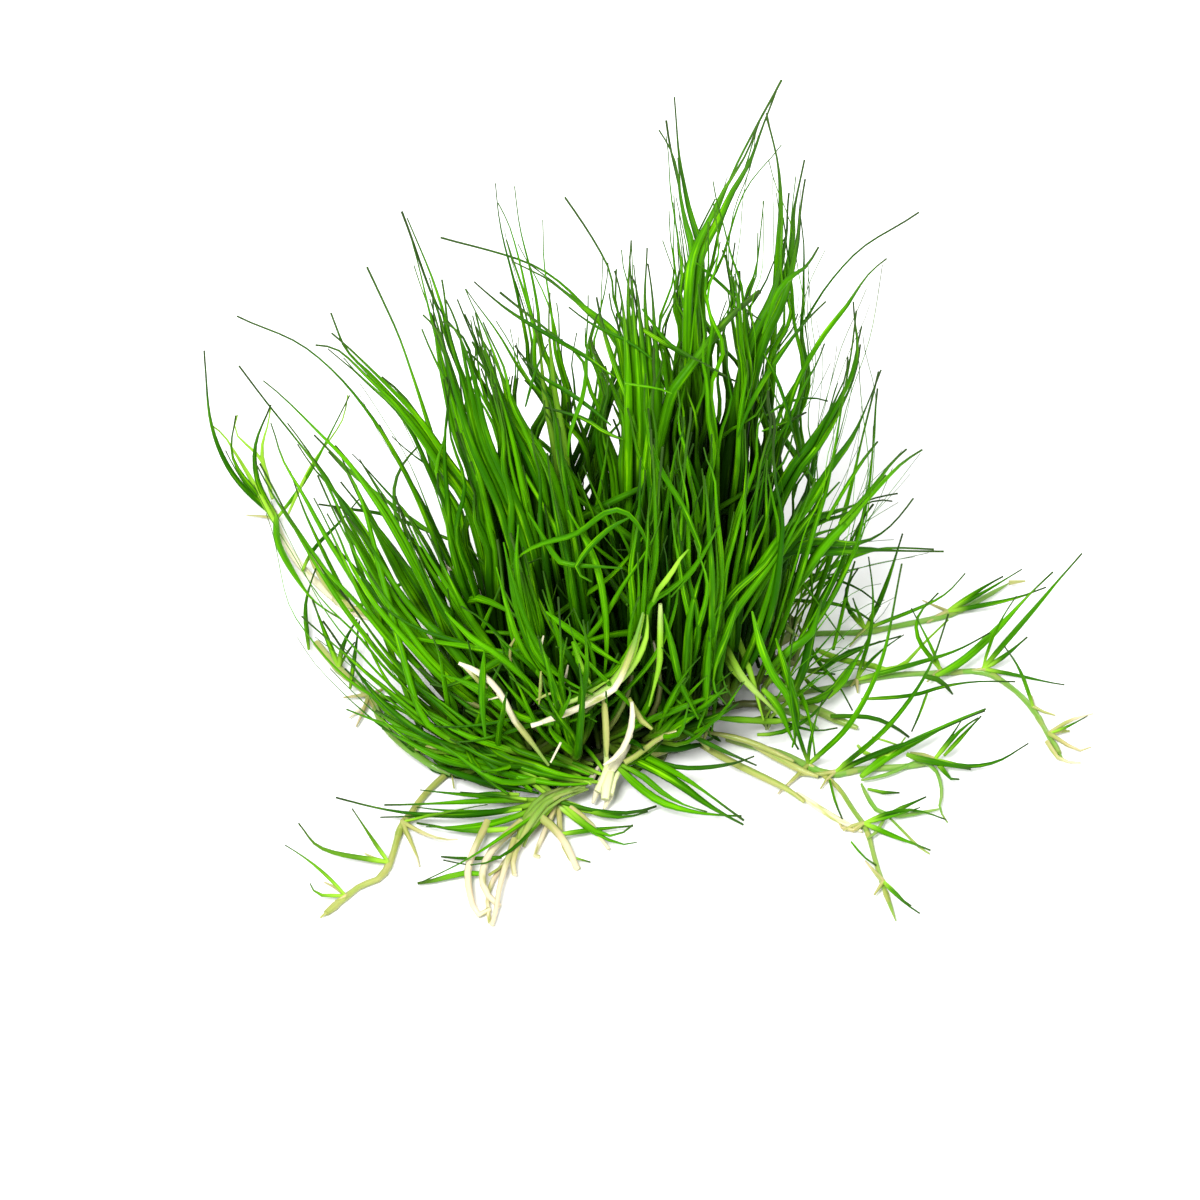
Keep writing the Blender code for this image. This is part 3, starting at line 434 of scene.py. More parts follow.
def ends_at(line: Line, tips: tuple[Pair, ...]) -> bool:
    """Whether a line's tip is seen at one of these places, from the front."""
    return any(math.dist(seen_at(line[-1]), tip) < TIP_REACH for tip in tips)


@dataclass(frozen=True)
class Route:
    """A strand along listed points, as it is seen from the front.

    Attributes:
        habit: How it grows.
        seen: The across and rise of each point, from foot to tip.
        back: The Y of its first and last point, for one that stands.
        height: The height of its first and last point, for one that lies.
        lowest: The least height of a point.
    """

    habit: Habit
    seen: tuple[Pair, ...]
    back: Pair | None = None
    height: Pair = (0.6, 0.6)
    lowest: ClassVar[float] = 0.2

    def line(self) -> np.ndarray:
        """Its points in space.

        Returns:
            The points, one a row.
        """
        points = []
        for (across, rise), share in zip(self.seen, np.linspace(0, 1, len(self.seen))):
            if self.back is None:
                height = between(self.height, share)
            else:
                height = (rise - between(self.back, share) * math.sin(VIEW_TILT)) / math.cos(VIEW_TILT)
            points.append(fan_point(across, rise, max(height, self.lowest)))
        return np.array(points)

    def grow(self, rng: Rng) -> Strand:
        """Its strand."""
        return self.habit.grow(evenly(self.line(), ROUTE_STEP, 5), rng)


def stands(habit: Habit, back: Pair, *seen: Pair) -> Route:
    """A route that stands, with the Y of its ends, then its points."""
    return Route(habit, seen, back=back)


def lies(habit: Habit, height: Pair, *seen: Pair) -> Route:
    """A route that lies, with the height of its ends, then its points."""
    return Route(habit, seen, height=height)


def side_by_side(route: Route, count: int, width: float) -> tuple[Route, ...]:
    """Routes that run next to each other like wet blades that cling together, with frayed tips.

    Args:
        route: The middle one.
        count: How many to make.
        width: How wide they are together.

    Returns:
        The routes.
    """
    made = []
    fray_across, fray_rise = 1.2, 4
    for number in range(count):
        aside = width * (number / max(count - 1, 1) - 0.5)
        fray = (number * 0.618 + 0.3) % 1 - 0.5  # steps of the golden section never fall together
        seen = [(across + aside, rise) for across, rise in route.seen]
        seen[-1] = (seen[-1][0] + fray_across * fray, seen[-1][1] + fray_rise * fray)
        back = route.back and (route.back[0] + fray, route.back[1] + fray)
        made.append(replace(route, seen=tuple(seen), back=back))
    return tuple(made)


class Value:
    """A socket of a node tree, with arithmetic that adds Math nodes."""

    def __init__(self, graph: "Graph", socket: bpy.types.NodeSocket) -> None:
        """Wraps a socket of a graph."""
        self.graph = graph
        self.socket = socket

    def _math(self, operation: str, *values: "Value | float") -> "Value":
        """A Math node on these values."""
        return self.graph.node("ShaderNodeMath", {"operation": operation}, dict(enumerate(values)))

    def __add__(self, other: "Value | float") -> "Value":
        """Their sum."""
        return self._math("ADD", self, other)

    def __radd__(self, other: float) -> "Value":
        """Their sum."""
        return self._math("ADD", other, self)

    def __sub__(self, other: "Value | float") -> "Value":
        """Their difference."""
        return self._math("SUBTRACT", self, other)

    def __rsub__(self, other: float) -> "Value":
        """Their difference, the other way round."""
        return self._math("SUBTRACT", other, self)

    def __mul__(self, other: "Value | float") -> "Value":
        """Their product."""
        return self._math("MULTIPLY", self, other)

    def step(self, low: float, high: float) -> "Value":
        """A smooth step from 0 at low to 1 at high."""
        return self.graph.node("ShaderNodeMapRange", {"interpolation_type": "SMOOTHSTEP"},
                               {"Value": self, "From Min": low, "From Max": high})


class Graph:
    """A node tree that is built by calls."""

    def __init__(self, tree: bpy.types.NodeTree) -> None:
        """Starts from an existing tree."""
        self.tree = tree

    def node(self, kind: str, settings: dict | None = None, inputs: dict | None = None,
             output: int | str = 0) -> Value:
        """Adds a node.

        Args:
            kind: The node's type.
            settings: Its properties, set first.
            inputs: Values or links of its sockets, by name or number.
            output: Which output to return.

        Returns:
            That output.
        """
        made = self.tree.nodes.new(kind)
        for name, value in (settings or {}).items():
            setattr(made, name, value)
        for name, value in (inputs or {}).items():
            if isinstance(value, Value):
                self.tree.links.new(value.socket, made.inputs[name])
            else:
                made.inputs[name].default_value = value
        return Value(self, made.outputs[output])

    def scaled(self, vector: Value, by: Value | float) -> Value:
        """A vector or colour multiplied by a value."""
        return self.node("ShaderNodeVectorMath", {"operation": "SCALE"}, {0: vector, "Scale": by})


class Shader(Graph):
    """A material's tree, with its Principled shader.

    Attributes:
        apart: How far apart the patterns of the deepest and the lightest strand are.
    """

    apart = 37.0

    def __init__(self, name: str, **constants: float) -> None:
        """Makes the material and sets its shader's constant sockets.

        Args:
            name: The material's name.
            constants: The sockets' values, with _ for each space of a name.
        """
        self.material = bpy.data.materials.new(name)
        self.material.use_nodes = True
        super().__init__(self.material.node_tree)
        self.surface = self.tree.nodes["Principled BSDF"]
        for socket, value in constants.items():
            self.surface.inputs[socket.replace("_", " ")].default_value = value

    def attribute(self, name: str, output: str = "Fac") -> Value:
        """An attribute of the mesh."""
        return self.node("ShaderNodeAttribute", {"attribute_name": name}, output=output)

    def mix(self, share: Value | float, low: Value | tuple, high: Value | tuple) -> Value:
        """A colour between two."""
        return self.node("ShaderNodeMix", {"data_type": "RGBA"}, {0: share, 6: low, 7: high}, 2)

    def streaks(self, across: float, along: float, detail: float = 2.0) -> Value:
        """A pattern that runs along each strand.

        Args:
            across: How fast it changes around a strand.
            along: How fast it changes along one, in changes a millimetre.
            detail: The noise's detail.

        Returns:
            A value about 0.5.
        """
        around = self.scaled(self.attribute("side", "Vector"), across)
        place = self.node("ShaderNodeCombineXYZ", inputs={
            "X": self.attribute("tint") * self.apart, "Z": self.attribute("run") * along})
        where = self.node("ShaderNodeVectorMath", {"operation": "ADD"}, {0: around, 1: place})
        return self.node("ShaderNodeTexNoise", inputs={
            "Vector": where, "Scale": 1.0, "Detail": detail, "Roughness": 0.55})

    def finish(self, colour: Value, fine: Value, relief: float, black_from: float,
               black: float) -> bpy.types.Material:
        """Paints the clump's shade into the colour, darker deeper inside the clump, and links the surface.

        Args:
            colour: Its colour in daylight.
            fine: Its fine streaks, which also make it rougher and higher.
            relief: How high they are, in millimetres.
            black_from: How deep in the clump the blackest shade starts, from 0 to 1.
            black: How much that shade takes away.

        Returns:
            The material.
        """
        # painted shade: the colour is darkened by how much daylight the clump's blades keep from each point
        deep = self.attribute("deep")
        shadow = 1.0 - deep * 0.2 - deep.step(black_from, 0.98) * black
        bump = self.node("ShaderNodeBump", inputs={"Height": fine, "Distance": relief * MM, "Strength": 1.0})
        sockets = {"Base Color": self.scaled(colour, shadow), "Roughness": 0.3 + fine * 0.3, "Normal": bump}
        for name, value in sockets.items():
            self.tree.links.new(value.socket, self.surface.inputs[name])
        return self.material


@dataclass(frozen=True)
class BladeFinish:
    """A wet blade: pale at its sheath, fresh green above it, and dark at its dry tip, with painted highlights
    and painted shade in streaks along it.

    Attributes:
        name: The material's name.
        deep: Its darkest green, also used for the painted shade of its dark streaks.
        fresh: Its green on the lighter blades.
        light: The painted highlights: the lightest streaks, in place of the wet blade's gloss.
        young: The yellow green of a young blade, and over the sheath.
        cream: The sheath.
        dry: The dry tip.
        relief: How high its fine ridges are.
        black_from: How deep in the clump the blackest shade starts.
        black: How much that shade takes away.
    """

    name: str = "wet_blade"
    deep: tuple = linear(29, 83, 0)
    fresh: tuple = linear(80, 155, 0)
    light: tuple = linear(134, 204, 8)
    young: tuple = linear(140, 190, 50)
    cream: tuple = linear(222, 224, 172)
    dry: tuple = linear(44, 56, 30)
    relief: float = 0.05
    black_from: float = 0.79
    black: float = 0.68

    def material(self) -> bpy.types.Material:
        """Builds the material.

        Returns:
            The material.
        """
        shader = Shader(self.name, IOR=1.4, Specular_IOR_Level=0.04, Coat_Weight=0.015, Coat_Roughness=0.15)
        tint, pale = shader.attribute("tint"), shader.attribute("pale")
        fine = shader.streaks(2.6, 0.12)
        broad = shader.streaks(0.5, 0.22)
        green = shader.mix((tint * 0.75 + broad * 0.9 - 0.28).step(0.0, 1.0), self.deep, self.fresh)
        # painted highlights: light streaks along the blade stand in for its wet gloss
        green = shader.mix((broad + fine - 1.08).step(0.0, 0.3) * 0.7, green, self.light)
        # painted shade: dark bands along the blade stand in for its side that is turned from the light
        green = shader.mix((0.52 - fine).step(0.0, 0.16) * 0.6, green, self.deep)
        sheath = shader.mix(pale.step(0.0, 0.5), green, self.young)
        sheath = shader.mix(pale.step(0.45, 1.0), sheath, self.cream)
        colour = shader.mix(shader.attribute("dark") * 0.85, sheath, self.dry)
        return shader.finish(colour, fine, self.relief, self.black_from, self.black)


@dataclass(frozen=True)
class StemFinish:
    """A creeping stem or a root: cream, greener where it is less pale, with brown scales, painted white
    highlights, painted shade in broad streaks and a painted warm bounce light.

    Attributes:
        name: The material's name.
        green: Its streaks, and where it is least pale.
        cream: Its main colour.
        white: Where it is paler.
        bright: The painted highlights: white lengths on the palest ones, in place of their gloss.
        stain_and_shade: The brown of its scales and of old lengths, and the painted shade of its broad
            streaks.
        painted_bounce: A painted warm bounce light in places.
        painted_bounce_share: How strong that painted light is.
        relief: How high its fine ridges are.
        black_from: How deep in the clump the blackest shade starts.
        black: How much that shade takes away.
    """

    name: str = "cream_stem"
    green: tuple = linear(94, 150, 38)
    cream: tuple = linear(144, 154, 66)
    white: tuple = linear(176, 178, 106)
    bright: tuple = linear(236, 228, 206)
    stain_and_shade: tuple = linear(138, 132, 70)
    painted_bounce: tuple = linear(216, 176, 150)
    painted_bounce_share: float = 0.15
    relief: float = 0.06
    black_from: float = 0.78
    black: float = 0.6

    def material(self) -> bpy.types.Material:
        """Builds the material.

        Returns:
            The material.
        """
        shader = Shader(self.name, IOR=1.4, Specular_IOR_Level=0.3, Coat_Weight=0.2, Coat_Roughness=0.1)
        tint, pale = shader.attribute("tint"), shader.attribute("pale")
        fine = shader.streaks(2.2, 0.25, 3.0)
        broad = shader.streaks(0.4, 0.3)
        colour = shader.mix((pale + broad * 0.4 - 0.2).step(0.25, 0.85), self.green, self.cream)
        colour = shader.mix((pale * 0.6 + tint * 0.5 + fine * 0.3 - 0.4).step(0.3, 0.8), colour, self.white)
        colour = shader.mix(fine.step(0.5, 0.7) * 0.65, colour, self.green)
        # painted highlights: white lengths on the palest stems stand in for their gloss
        lit = (tint * 0.4 + broad).step(0.62, 0.8) * pale.step(0.75, 0.95)
        colour = shader.mix(lit * 0.7, colour, self.bright)
        # painted shade: broad olive-brown streaks stand in for the shading along the stem
        colour = shader.mix((1.0 - broad).step(0.55, 0.75) * 0.45, colour, self.stain_and_shade)
        # painted warm bounce light, in broad patches
        colour = shader.mix(broad.step(0.35, 0.75) * self.painted_bounce_share, colour, self.painted_bounce)
        # the real brown of the scales and the dry lengths, in the same colour
        colour = shader.mix(shader.attribute("dark") * 0.8, colour, self.stain_and_shade)
        return shader.finish(colour, fine, self.relief, self.black_from, self.black)


class Tubes(Graph):
    """The Geometry Nodes tree that turns strands into tubes with smooth, waving lines.

    Attributes:
        apart: How far apart the waves of the deepest and the lightest strand are.
    """

    apart = 53.0

    def __init__(self, finishes: dict[Kind, bpy.types.Material]) -> None:
        """Builds the tree.

        Args:
            finishes: The material of each kind of strand.
        """
        super().__init__(bpy.data.node_groups.new("strands_to_tubes", "GeometryNodeTree"))
        self.finishes = finishes
        self.identifiers = {}
        sockets = [("Strands", "NodeSocketGeometry"), ("Sides", "NodeSocketInt"), ("Step", "NodeSocketFloat"),
                   ("Wave Length", "NodeSocketFloat"), ("Seed", "NodeSocketFloat")]
        sockets += [(kind.name, "NodeSocketMaterial") for kind in Kind]
        for name, socket_type in sockets:
            made = self.tree.interface.new_socket(name=name, in_out="INPUT", socket_type=socket_type)
            self.identifiers[name] = made.identifier
        self.tree.interface.new_socket(name="Tubes", in_out="OUTPUT", socket_type="NodeSocketGeometry")
        source = self.tree.nodes.new("NodeGroupInput")
        given = {name: Value(self, source.outputs[name]) for name, _ in sockets}
        curve = self.node("GeometryNodeMeshToCurve", inputs={"Mesh": given["Strands"]})
        curve = self.node("GeometryNodeCurveSplineType", {"spline_type": "CATMULL_ROM"}, {"Curve": curve})
        curve = self.node("GeometryNodeResampleCurve", {"mode": "LENGTH"},
                          {"Curve": curve, "Length": given["Step"]})
        curve = self.node("GeometryNodeSetPosition", inputs={"Geometry": curve, "Offset": self.waves(given)})
        tubes = self.node("GeometryNodeCurveToMesh", inputs={
            "Curve": curve, "Profile Curve": self.profile(given), "Scale": self.named("thickness"),
            "Fill Caps": True})
        tubes = self.node("GeometryNodeSetShadeSmooth", inputs={"Geometry": tubes})
        tubes = self.node("GeometryNodeRealizeInstances", inputs={"Geometry": tubes})
        for kind in Kind:
            chosen = self.node("FunctionNodeCompare", {"data_type": "FLOAT", "operation": "EQUAL"},
                               {"A": self.named("kind"), "B": float(kind.value), "Epsilon": 0.4})
            tubes = self.node("GeometryNodeSetMaterial", inputs={
                "Geometry": tubes, "Selection": chosen, "Material": given[kind.name]})
        target = self.tree.nodes.new("NodeGroupOutput")
        self.tree.links.new(tubes.socket, target.inputs["Tubes"])

    def named(self, name: str) -> Value:
        """A named attribute of the strands."""
        return self.node("GeometryNodeInputNamedAttribute", {"data_type": "FLOAT"}, {"Name": name})

    def waves(self, given: dict[str, Value]) -> Value:
        """How far each point is moved, so that no blade is quite straight.

        Args:
            given: The tree's inputs.

        Returns:
            The offset.
        """
        scale = self.node("ShaderNodeMath", {"operation": "DIVIDE"}, {0: 1.0, 1: given["Wave Length"]})
        noise = self.node("ShaderNodeTexNoise", {"noise_dimensions": "4D"}, {
            "W": self.named("tint") * self.apart + given["Seed"], "Scale": scale, "Detail": 1.0}, "Color")
        centred = self.node("ShaderNodeVectorMath", {"operation": "SUBTRACT"}, {0: noise, 1: (0.5, 0.5, 0.5)})
        return self.scaled(centred, self.named("sway") * 2.0)

    def profile(self, given: dict[str, Value]) -> Value:
        """The round section, which keeps where it is around the strand in an attribute.

        Args:
            given: The tree's inputs.

        Returns:
            The curve.
        """
        circle = self.node("GeometryNodeCurvePrimitiveCircle",
                           inputs={"Resolution": given["Sides"], "Radius": 1.0}, output="Curve")
        place = self.node("GeometryNodeInputPosition")
        return self.node("GeometryNodeStoreNamedAttribute", {"data_type": "FLOAT_VECTOR", "domain": "POINT"},
                         {"Geometry": circle, "Name": "side", "Value": place})

    def make(self, name: str, strands: list[Strand], sides: int, step: float) -> bpy.types.Object:
        """A piece made of tubes along strands.

        Args:
            name: The piece's name.
            strands: Its strands.
            sides: How many sides each tube has.
            step: The length of each tube's sections.

        Returns:
            The piece, as a plain mesh in its place.
        """
        carrier = bpy.data.objects.new(name + "_lines", lines_mesh(name + "_lines", strands))
        bpy.context.scene.collection.objects.link(carrier)
        modifier = carrier.modifiers.new("tubes", "NODES")
        modifier.node_group = self.tree
        values = {"Sides": sides, "Step": step * MM, "Wave Length": WAVE_LENGTH * MM, "Seed": float(SEED)}
        values |= {kind.name: finish for kind, finish in self.finishes.items()}
        for socket, value in values.items():
            modifier[self.identifiers[socket]] = value
        evaluated = carrier.evaluated_get(bpy.context.evaluated_depsgraph_get())
        mesh = bpy.data.meshes.new_from_object(evaluated)
        mesh.name = name
        for spare in ("thickness", "sway", "kind"):
            mesh.attributes.remove(mesh.attributes[spare])
        lines = carrier.data
        bpy.data.objects.remove(carrier)
        bpy.data.meshes.remove(lines)
        piece = bpy.data.objects.new(name, mesh)
        bpy.context.scene.collection.objects.link(piece)
        return piece


def lines_mesh(name: str, strands: list[Strand]) -> bpy.types.Mesh:
    """A mesh of edges along strands, with what each point knows as attributes.

    Args:
        name: The mesh's name.
        strands: The strands.

    Returns:
        The mesh, in metres.
    """
    counts = [len(strand.line) for strand in strands]
    starts = np.cumsum([0, *counts[:-1]])
    edges = np.vstack([np.stack([np.arange(count - 1), np.arange(1, count)], axis=1) + start
                       for start, count in zip(starts, counts)])
    mesh = bpy.data.meshes.new(name)
    mesh.from_pydata(np.vstack([strand.line for strand in strands]) * MM, edges.tolist(), [])
    columns = {
        "thickness": [strand.radii * MM for strand in strands],
        "sway": [strand.sway * MM for strand in strands],
        "pale": [strand.pale for strand in strands],
        "dark": [strand.dark for strand in strands],
        "tint": [np.full(len(strand.line), strand.tint) for strand in strands],
        "kind": [np.full(len(strand.line), float(strand.kind.value)) for strand in strands],
        "run": [np.linspace(0, length_of(strand.line), len(strand.line)) for strand in strands],
        # painted shade: how much daylight the clump's blades keep from each point, which the materials paint
        # in
        "deep": [PaintedShade.at(strand.line) for strand in strands],
    }
    for key, values in columns.items():
        attribute = mesh.attributes.new(key, "FLOAT", "POINT")
        attribute.data.foreach_set("value", np.concatenate(values).astype(np.float32))
    return mesh


class PaintedShade:
    """The painted shade: how much of the daylight the clump's own blades keep from each place inside it,
    which the materials paint into their colour.

    Attributes:
        cell: The side of the cells of its grid.
        reach: How far off a blade still shades a place.
        strength: How fast light is lost among blades.
        full: The most that one cell counts, in millimetres of blade for each cubic millimetre.
        rings: Where daylight comes from: how high each ring of directions stands, and how many it has.
        low: The lowest corner of the grid.
        shade: How dark each cell is, from 0 to 1.
    """

    cell = 2.0
    reach = 30.0
    strength = 0.55
    full = 1.2
    rings = ((0.5, 8), (1.05, 6), (1.5, 1))
    low: np.ndarray
    shade: np.ndarray

    @classmethod
    def measure(cls, strands: list[Strand]) -> None:
        """Fills the grid from all the strands.

        Args:
            strands: Every strand of the object.
        """
        points = np.vstack([smooth(strand.line, max(3, int(length_of(strand.line)))) for strand in strands])
        cls.low = points.min(axis=0) - cls.reach
        size = np.ceil((points.max(axis=0) + cls.reach - cls.low) / cls.cell).astype(int)
        filled = np.zeros(size)
        np.add.at(filled, tuple(((points - cls.low) / cls.cell).astype(int).T), 1.0)
        filled = np.minimum(filled / cls.cell**3, cls.full)
        ways = [(math.cos(turn) * math.cos(up), math.sin(turn) * math.cos(up), math.sin(up))
                for up, turns in cls.rings
                for turn in np.arange(turns) * 2 * math.pi / turns]
        light = np.zeros(size)
        for way in ways:
            through = np.zeros(size)
            for step in np.arange(1.0, cls.reach / cls.cell):
                shift = np.round(np.array(way) * step).astype(int)
                through += np.roll(filled, tuple(-shift), axis=(0, 1, 2))
            light += np.exp(-cls.strength * through * cls.cell)
        cls.shade = 1 - light / len(ways)

    @classmethod
    def at(cls, line: Line) -> np.ndarray:
        """How dark it is at each point of a line, from 0 to 1.

        Args:
            line: The points.

        Returns:
            How dark each is.
        """
        place = ((line - cls.low) / cls.cell).astype(int)
        place = np.clip(place, 0, np.array(cls.shade.shape) - 1)
        return cls.shade[tuple(place.T)]


class Skeleton:
    """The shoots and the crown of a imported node, read from its mesh."""

    def __init__(self, node: str) -> None:
        """Reads a node.

        Args:
            node: The node's name.
        """
        bm = bmesh.new()
        bm.from_mesh(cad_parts[node].data)
        bmesh.ops.remove_doubles(bm, verts=bm.verts, dist=WELD)
        tips = [vert for vert in bm.verts if len(vert.link_edges) == 3]
        self.shoots = []
        taken = set()
        for rings in (self.rings_from(tip) for tip in tips):
            if len(rings) < 3:
                continue
            centres = [np.mean([vert.co for vert in ring], axis=0) / MM for ring in rings]
            self.shoots.append(np.array(centres[::-1]))
            taken |= {vert for ring in rings[:-1] for vert in ring}
        rest = [vert.co for vert in bm.verts if vert not in taken]
        self.crown = np.mean(rest, axis=0) / MM
        bm.free()

    @staticmethod
    def rings_from(tip: bmesh.types.BMVert) -> list:
        """The rings of three corners that follow a shoot down from its tip.

        Args:
            tip: The corner at the tip.

        Returns:
            The tip by itself, then each ring.
        """
        rings, seen = [[tip]], {tip}
        while True:
            beyond = {edge.other_vert(vert) for vert in rings[-1] for edge in vert.link_edges} - seen
            if len(beyond) != 3:
                return rings
            rings.append(list(beyond))
            seen |= beyond


def openness(line: Line) -> float:
    """How much a line crosses the openings, from 0 to 1."""
    return max(opening.weight(line) for opening in OPENINGS)


def settle(piece: bpy.types.Object, slot: str, *nodes: str) -> bpy.types.Object:
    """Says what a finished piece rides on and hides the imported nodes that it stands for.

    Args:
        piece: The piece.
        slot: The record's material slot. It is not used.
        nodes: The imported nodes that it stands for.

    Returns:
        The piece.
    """
    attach(piece, BODY)
    if nodes:
        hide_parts(*nodes)
    log.info("%s: %d faces", piece.name, len(piece.data.polygons))
    return piece


@dataclass
class Part:
    """A part of the clump. Each sort grows its strands in its own way and is dressed as a piece of tubes.

    Attributes:
        node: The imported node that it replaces.
        strands: Its strands, once it has grown.
        ending: What the name of its piece adds to the node's.
        slot: The record's material slot.
        sides: How many sides its tubes have.
        step: The length of their sections.
    """

    node: str
    strands: list[Strand] = field(default_factory=list, init=False)
    ending: ClassVar[str] = "_blades"
    slot: ClassVar[str] = "blade"
    sides: ClassVar[int] = 6
    step: ClassVar[float] = 1.3

    def dress(self, tubes: Tubes) -> bpy.types.Object:
        """Makes its piece, which stands for its node."""
        made = tubes.make(self.node + self.ending, self.strands, self.sides, self.step)
        return settle(made, self.slot, self.node)


@dataclass
class Tuft(Part):
    """A lock of blades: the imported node's own shoots, with more blades beside and between them.

    Attributes:
        habit: How its blades grow.
        fine: The thickness of its shoots, as a share of the habit's.
        followers: How many blades run close beside each shoot.
        between: How many run between two shoots.
        strays: How many leave the lock.
        crossers: How many cross over to another lock.
        shorts: How many short ones stand round its foot.
        beside: How far a follower is from its shoot.
        wander: How far a blade drifts at its tip.
        stray_reach: How far a stray drifts.
        crown_radius: Half the width of its crown.
        short_lengths: The lengths of its short blades.
        short_leans: How far those lean out for each millimetre up.
        lone_from: How long a shoot is that stands out as a lone long one, in median lengths.
        thinning: How much thinner a shoot is in the middle of an opening, as a share.
        neighbours: How far off the locks are that it crosses to.
        scales: The thicknesses of its blades, as shares of the habit's.
    """

    habit: Habit = BLADE
    fine: float = 1.0
    followers: float = 0.8
    between: int = 5
    strays: int = 3
    crossers: int = 4
    shorts: int = 4
    beside: float = 0.6
    wander: float = 1.4
    stray_reach: float = 4.5
    crown_radius: float = 0.85
    short_lengths: ClassVar[Pair] = (5.0, 14.0)
    short_leans: ClassVar[Pair] = (0.15, 0.6)
    lone_from: ClassVar[float] = 1.1
    thinning: ClassVar[float] = 0.6
    neighbours: ClassVar[Pair] = (2.0, 11.0)
    scales: ClassVar[tuple[float, ...]] = (0.75, 0.9, 1.0, 1.15, 1.4)

    def __post_init__(self) -> None:
        """Reads the shoots of the node and draws their feet down into the mat."""
        skeleton = Skeleton(self.node)
        self.crown = skeleton.crown
        self.leaders = []
        for shoot in skeleton.shoots:
            out = shoot[0] - self.crown
            foot = self.crown + out * (0.35, 0.35, 0)
            foot[2] = self.crown[2] - self.crown_radius
            self.leaders.append(np.vstack([foot, shoot]))

    def vary(self, line: Line, beside: float, wander: float, rng: Rng) -> np.ndarray:
        """Moves a line aside and lets it drift.

        Args:
            line: The line.
            beside: How far it is moved aside.
            wander: How far it drifts at its tip.
            rng: The source of its ways.

        Returns:
            The new line.
        """
        share = np.linspace(0, 1, len(line))[:, None]
        curl = np.sin(2 * math.pi * (share * rng.uniform(0.4, 1.0) + rng.uniform()))
        moved = line + beside * any_way(rng, 0.3) * step_up(share, 0, 0.2) * (1 - 0.7 * share**2)
        moved += wander * any_way(rng, 0.3) * share**1.7
        return moved + 0.3 * wander * any_way(rng, 0.3) * curl * share

    def short(self, rng: Rng) -> np.ndarray:
        """The line of a short blade at the foot of the lock.

        Args:
            rng: The source of its place, length and lean.

        Returns:
            The line.
        """
        turn = rng.uniform(0, 2 * math.pi)
        out = np.array([math.cos(turn), math.sin(turn), 0])
        tall, lean = rng.uniform(*self.short_lengths), rng.uniform(*self.short_leans)
        foot = self.crown + out * self.crown_radius * 0.7
        foot[2] = self.crown[2] - self.crown_radius
        share = np.linspace(0, 1, 6)[:, None]
        return foot + tall * (share * (0, 0, 1) + out * lean * share**1.6)

    def add(self, habit: Habit, line: Line, rng: Rng) -> None:
        """Adds a blade along a line, unless an opening turns it away or it crosses a parting.

        Args:
            habit: How it grows.
            line: The line.
            rng: The source of its luck and thickness.
        """
        line = evenly(line, BLADE_STEP, 6)
        crosses = make_way(line)
        if rng.uniform() > max(openness(line), PARTED * crosses):
            self.strands.append(habit.grow(line, rng, rng.choice(self.scales)))

    def cross(self, others: list["Tuft"], rng: Rng) -> None:
        """Adds blades that leave their shoot and end among the blades of another lock.

        Args:
            others: All the locks.
            rng: The source of what differs between blades.
        """
        least, most = self.neighbours
        near = [one for one in others if least < np.linalg.norm(one.crown - self.crown) < most]
        for _ in range(self.crossers):
            other = near[rng.integers(len(near))]
            start = self.leaders[rng.integers(len(self.leaders))]
            end = other.leaders[rng.integers(len(other.leaders))]
            reach = rng.uniform(0.6, 0.95)
            weight = step_up(np.linspace(0, 1, 12)[:, None], rng.uniform(0.1, 0.5), 1.0)
            line = smooth(start, 12, reach) * (1 - weight) + smooth(end, 12, reach) * weight
            self.add(self.habit, self.vary(line, 0.4, 1.0, rng), rng)

    def grow(self, rng: Rng) -> list[Strand]:
        """All the strands of the lock.

        Args:
            rng: The source of what differs between its strands.

        Returns:
            The strands.
        """
        lengths = np.array([length_of(line) for line in self.leaders])
        for line, length in zip(self.leaders, lengths):
            lone = length > self.lone_from * np.median(lengths) or ends_at(line, LONG_TIPS)
            habit = LONG if lone else self.habit
            if ends_at(line, PALE_TIPS):
                habit = LOOSE_STEM
            bare = 0.0 if lone else openness(line)
            if bare > 0.5:
                habit = replace(habit, thick_to=0.3, hair_from=0.75)
            line = evenly(line, BLADE_STEP, 8)
            make_way(line)
            scale = self.fine * rng.uniform(0.85, 1.2) * (1 - self.thinning * bare)
            self.strands.append(habit.grow(line, rng, scale))
        for _ in range(round(self.followers * len(self.leaders))):
            line = smooth(self.leaders[rng.integers(len(self.leaders))], 11, rng.uniform(0.6, 0.98))
            self.add(self.habit, self.vary(line, self.beside, self.wander * 0.3, rng), rng)
        for number in range(self.between + self.strays):
            first, second = rng.choice(len(self.leaders), 2, replace=False)
            weight, reach = rng.uniform(0.2, 0.8), rng.uniform(0.45, 0.95)
            line = (smooth(self.leaders[first], 11, reach) * (1 - weight)
                    + smooth(self.leaders[second], 11, reach) * weight)
            drift = self.wander if number < self.between else self.stray_reach * rng.uniform(0.5, 1.2)
            self.add(self.habit, self.vary(line, self.beside, drift, rng), rng)
        for _ in range(self.shorts):
            self.add(SHORT, self.short(rng), rng)
        return self.strands


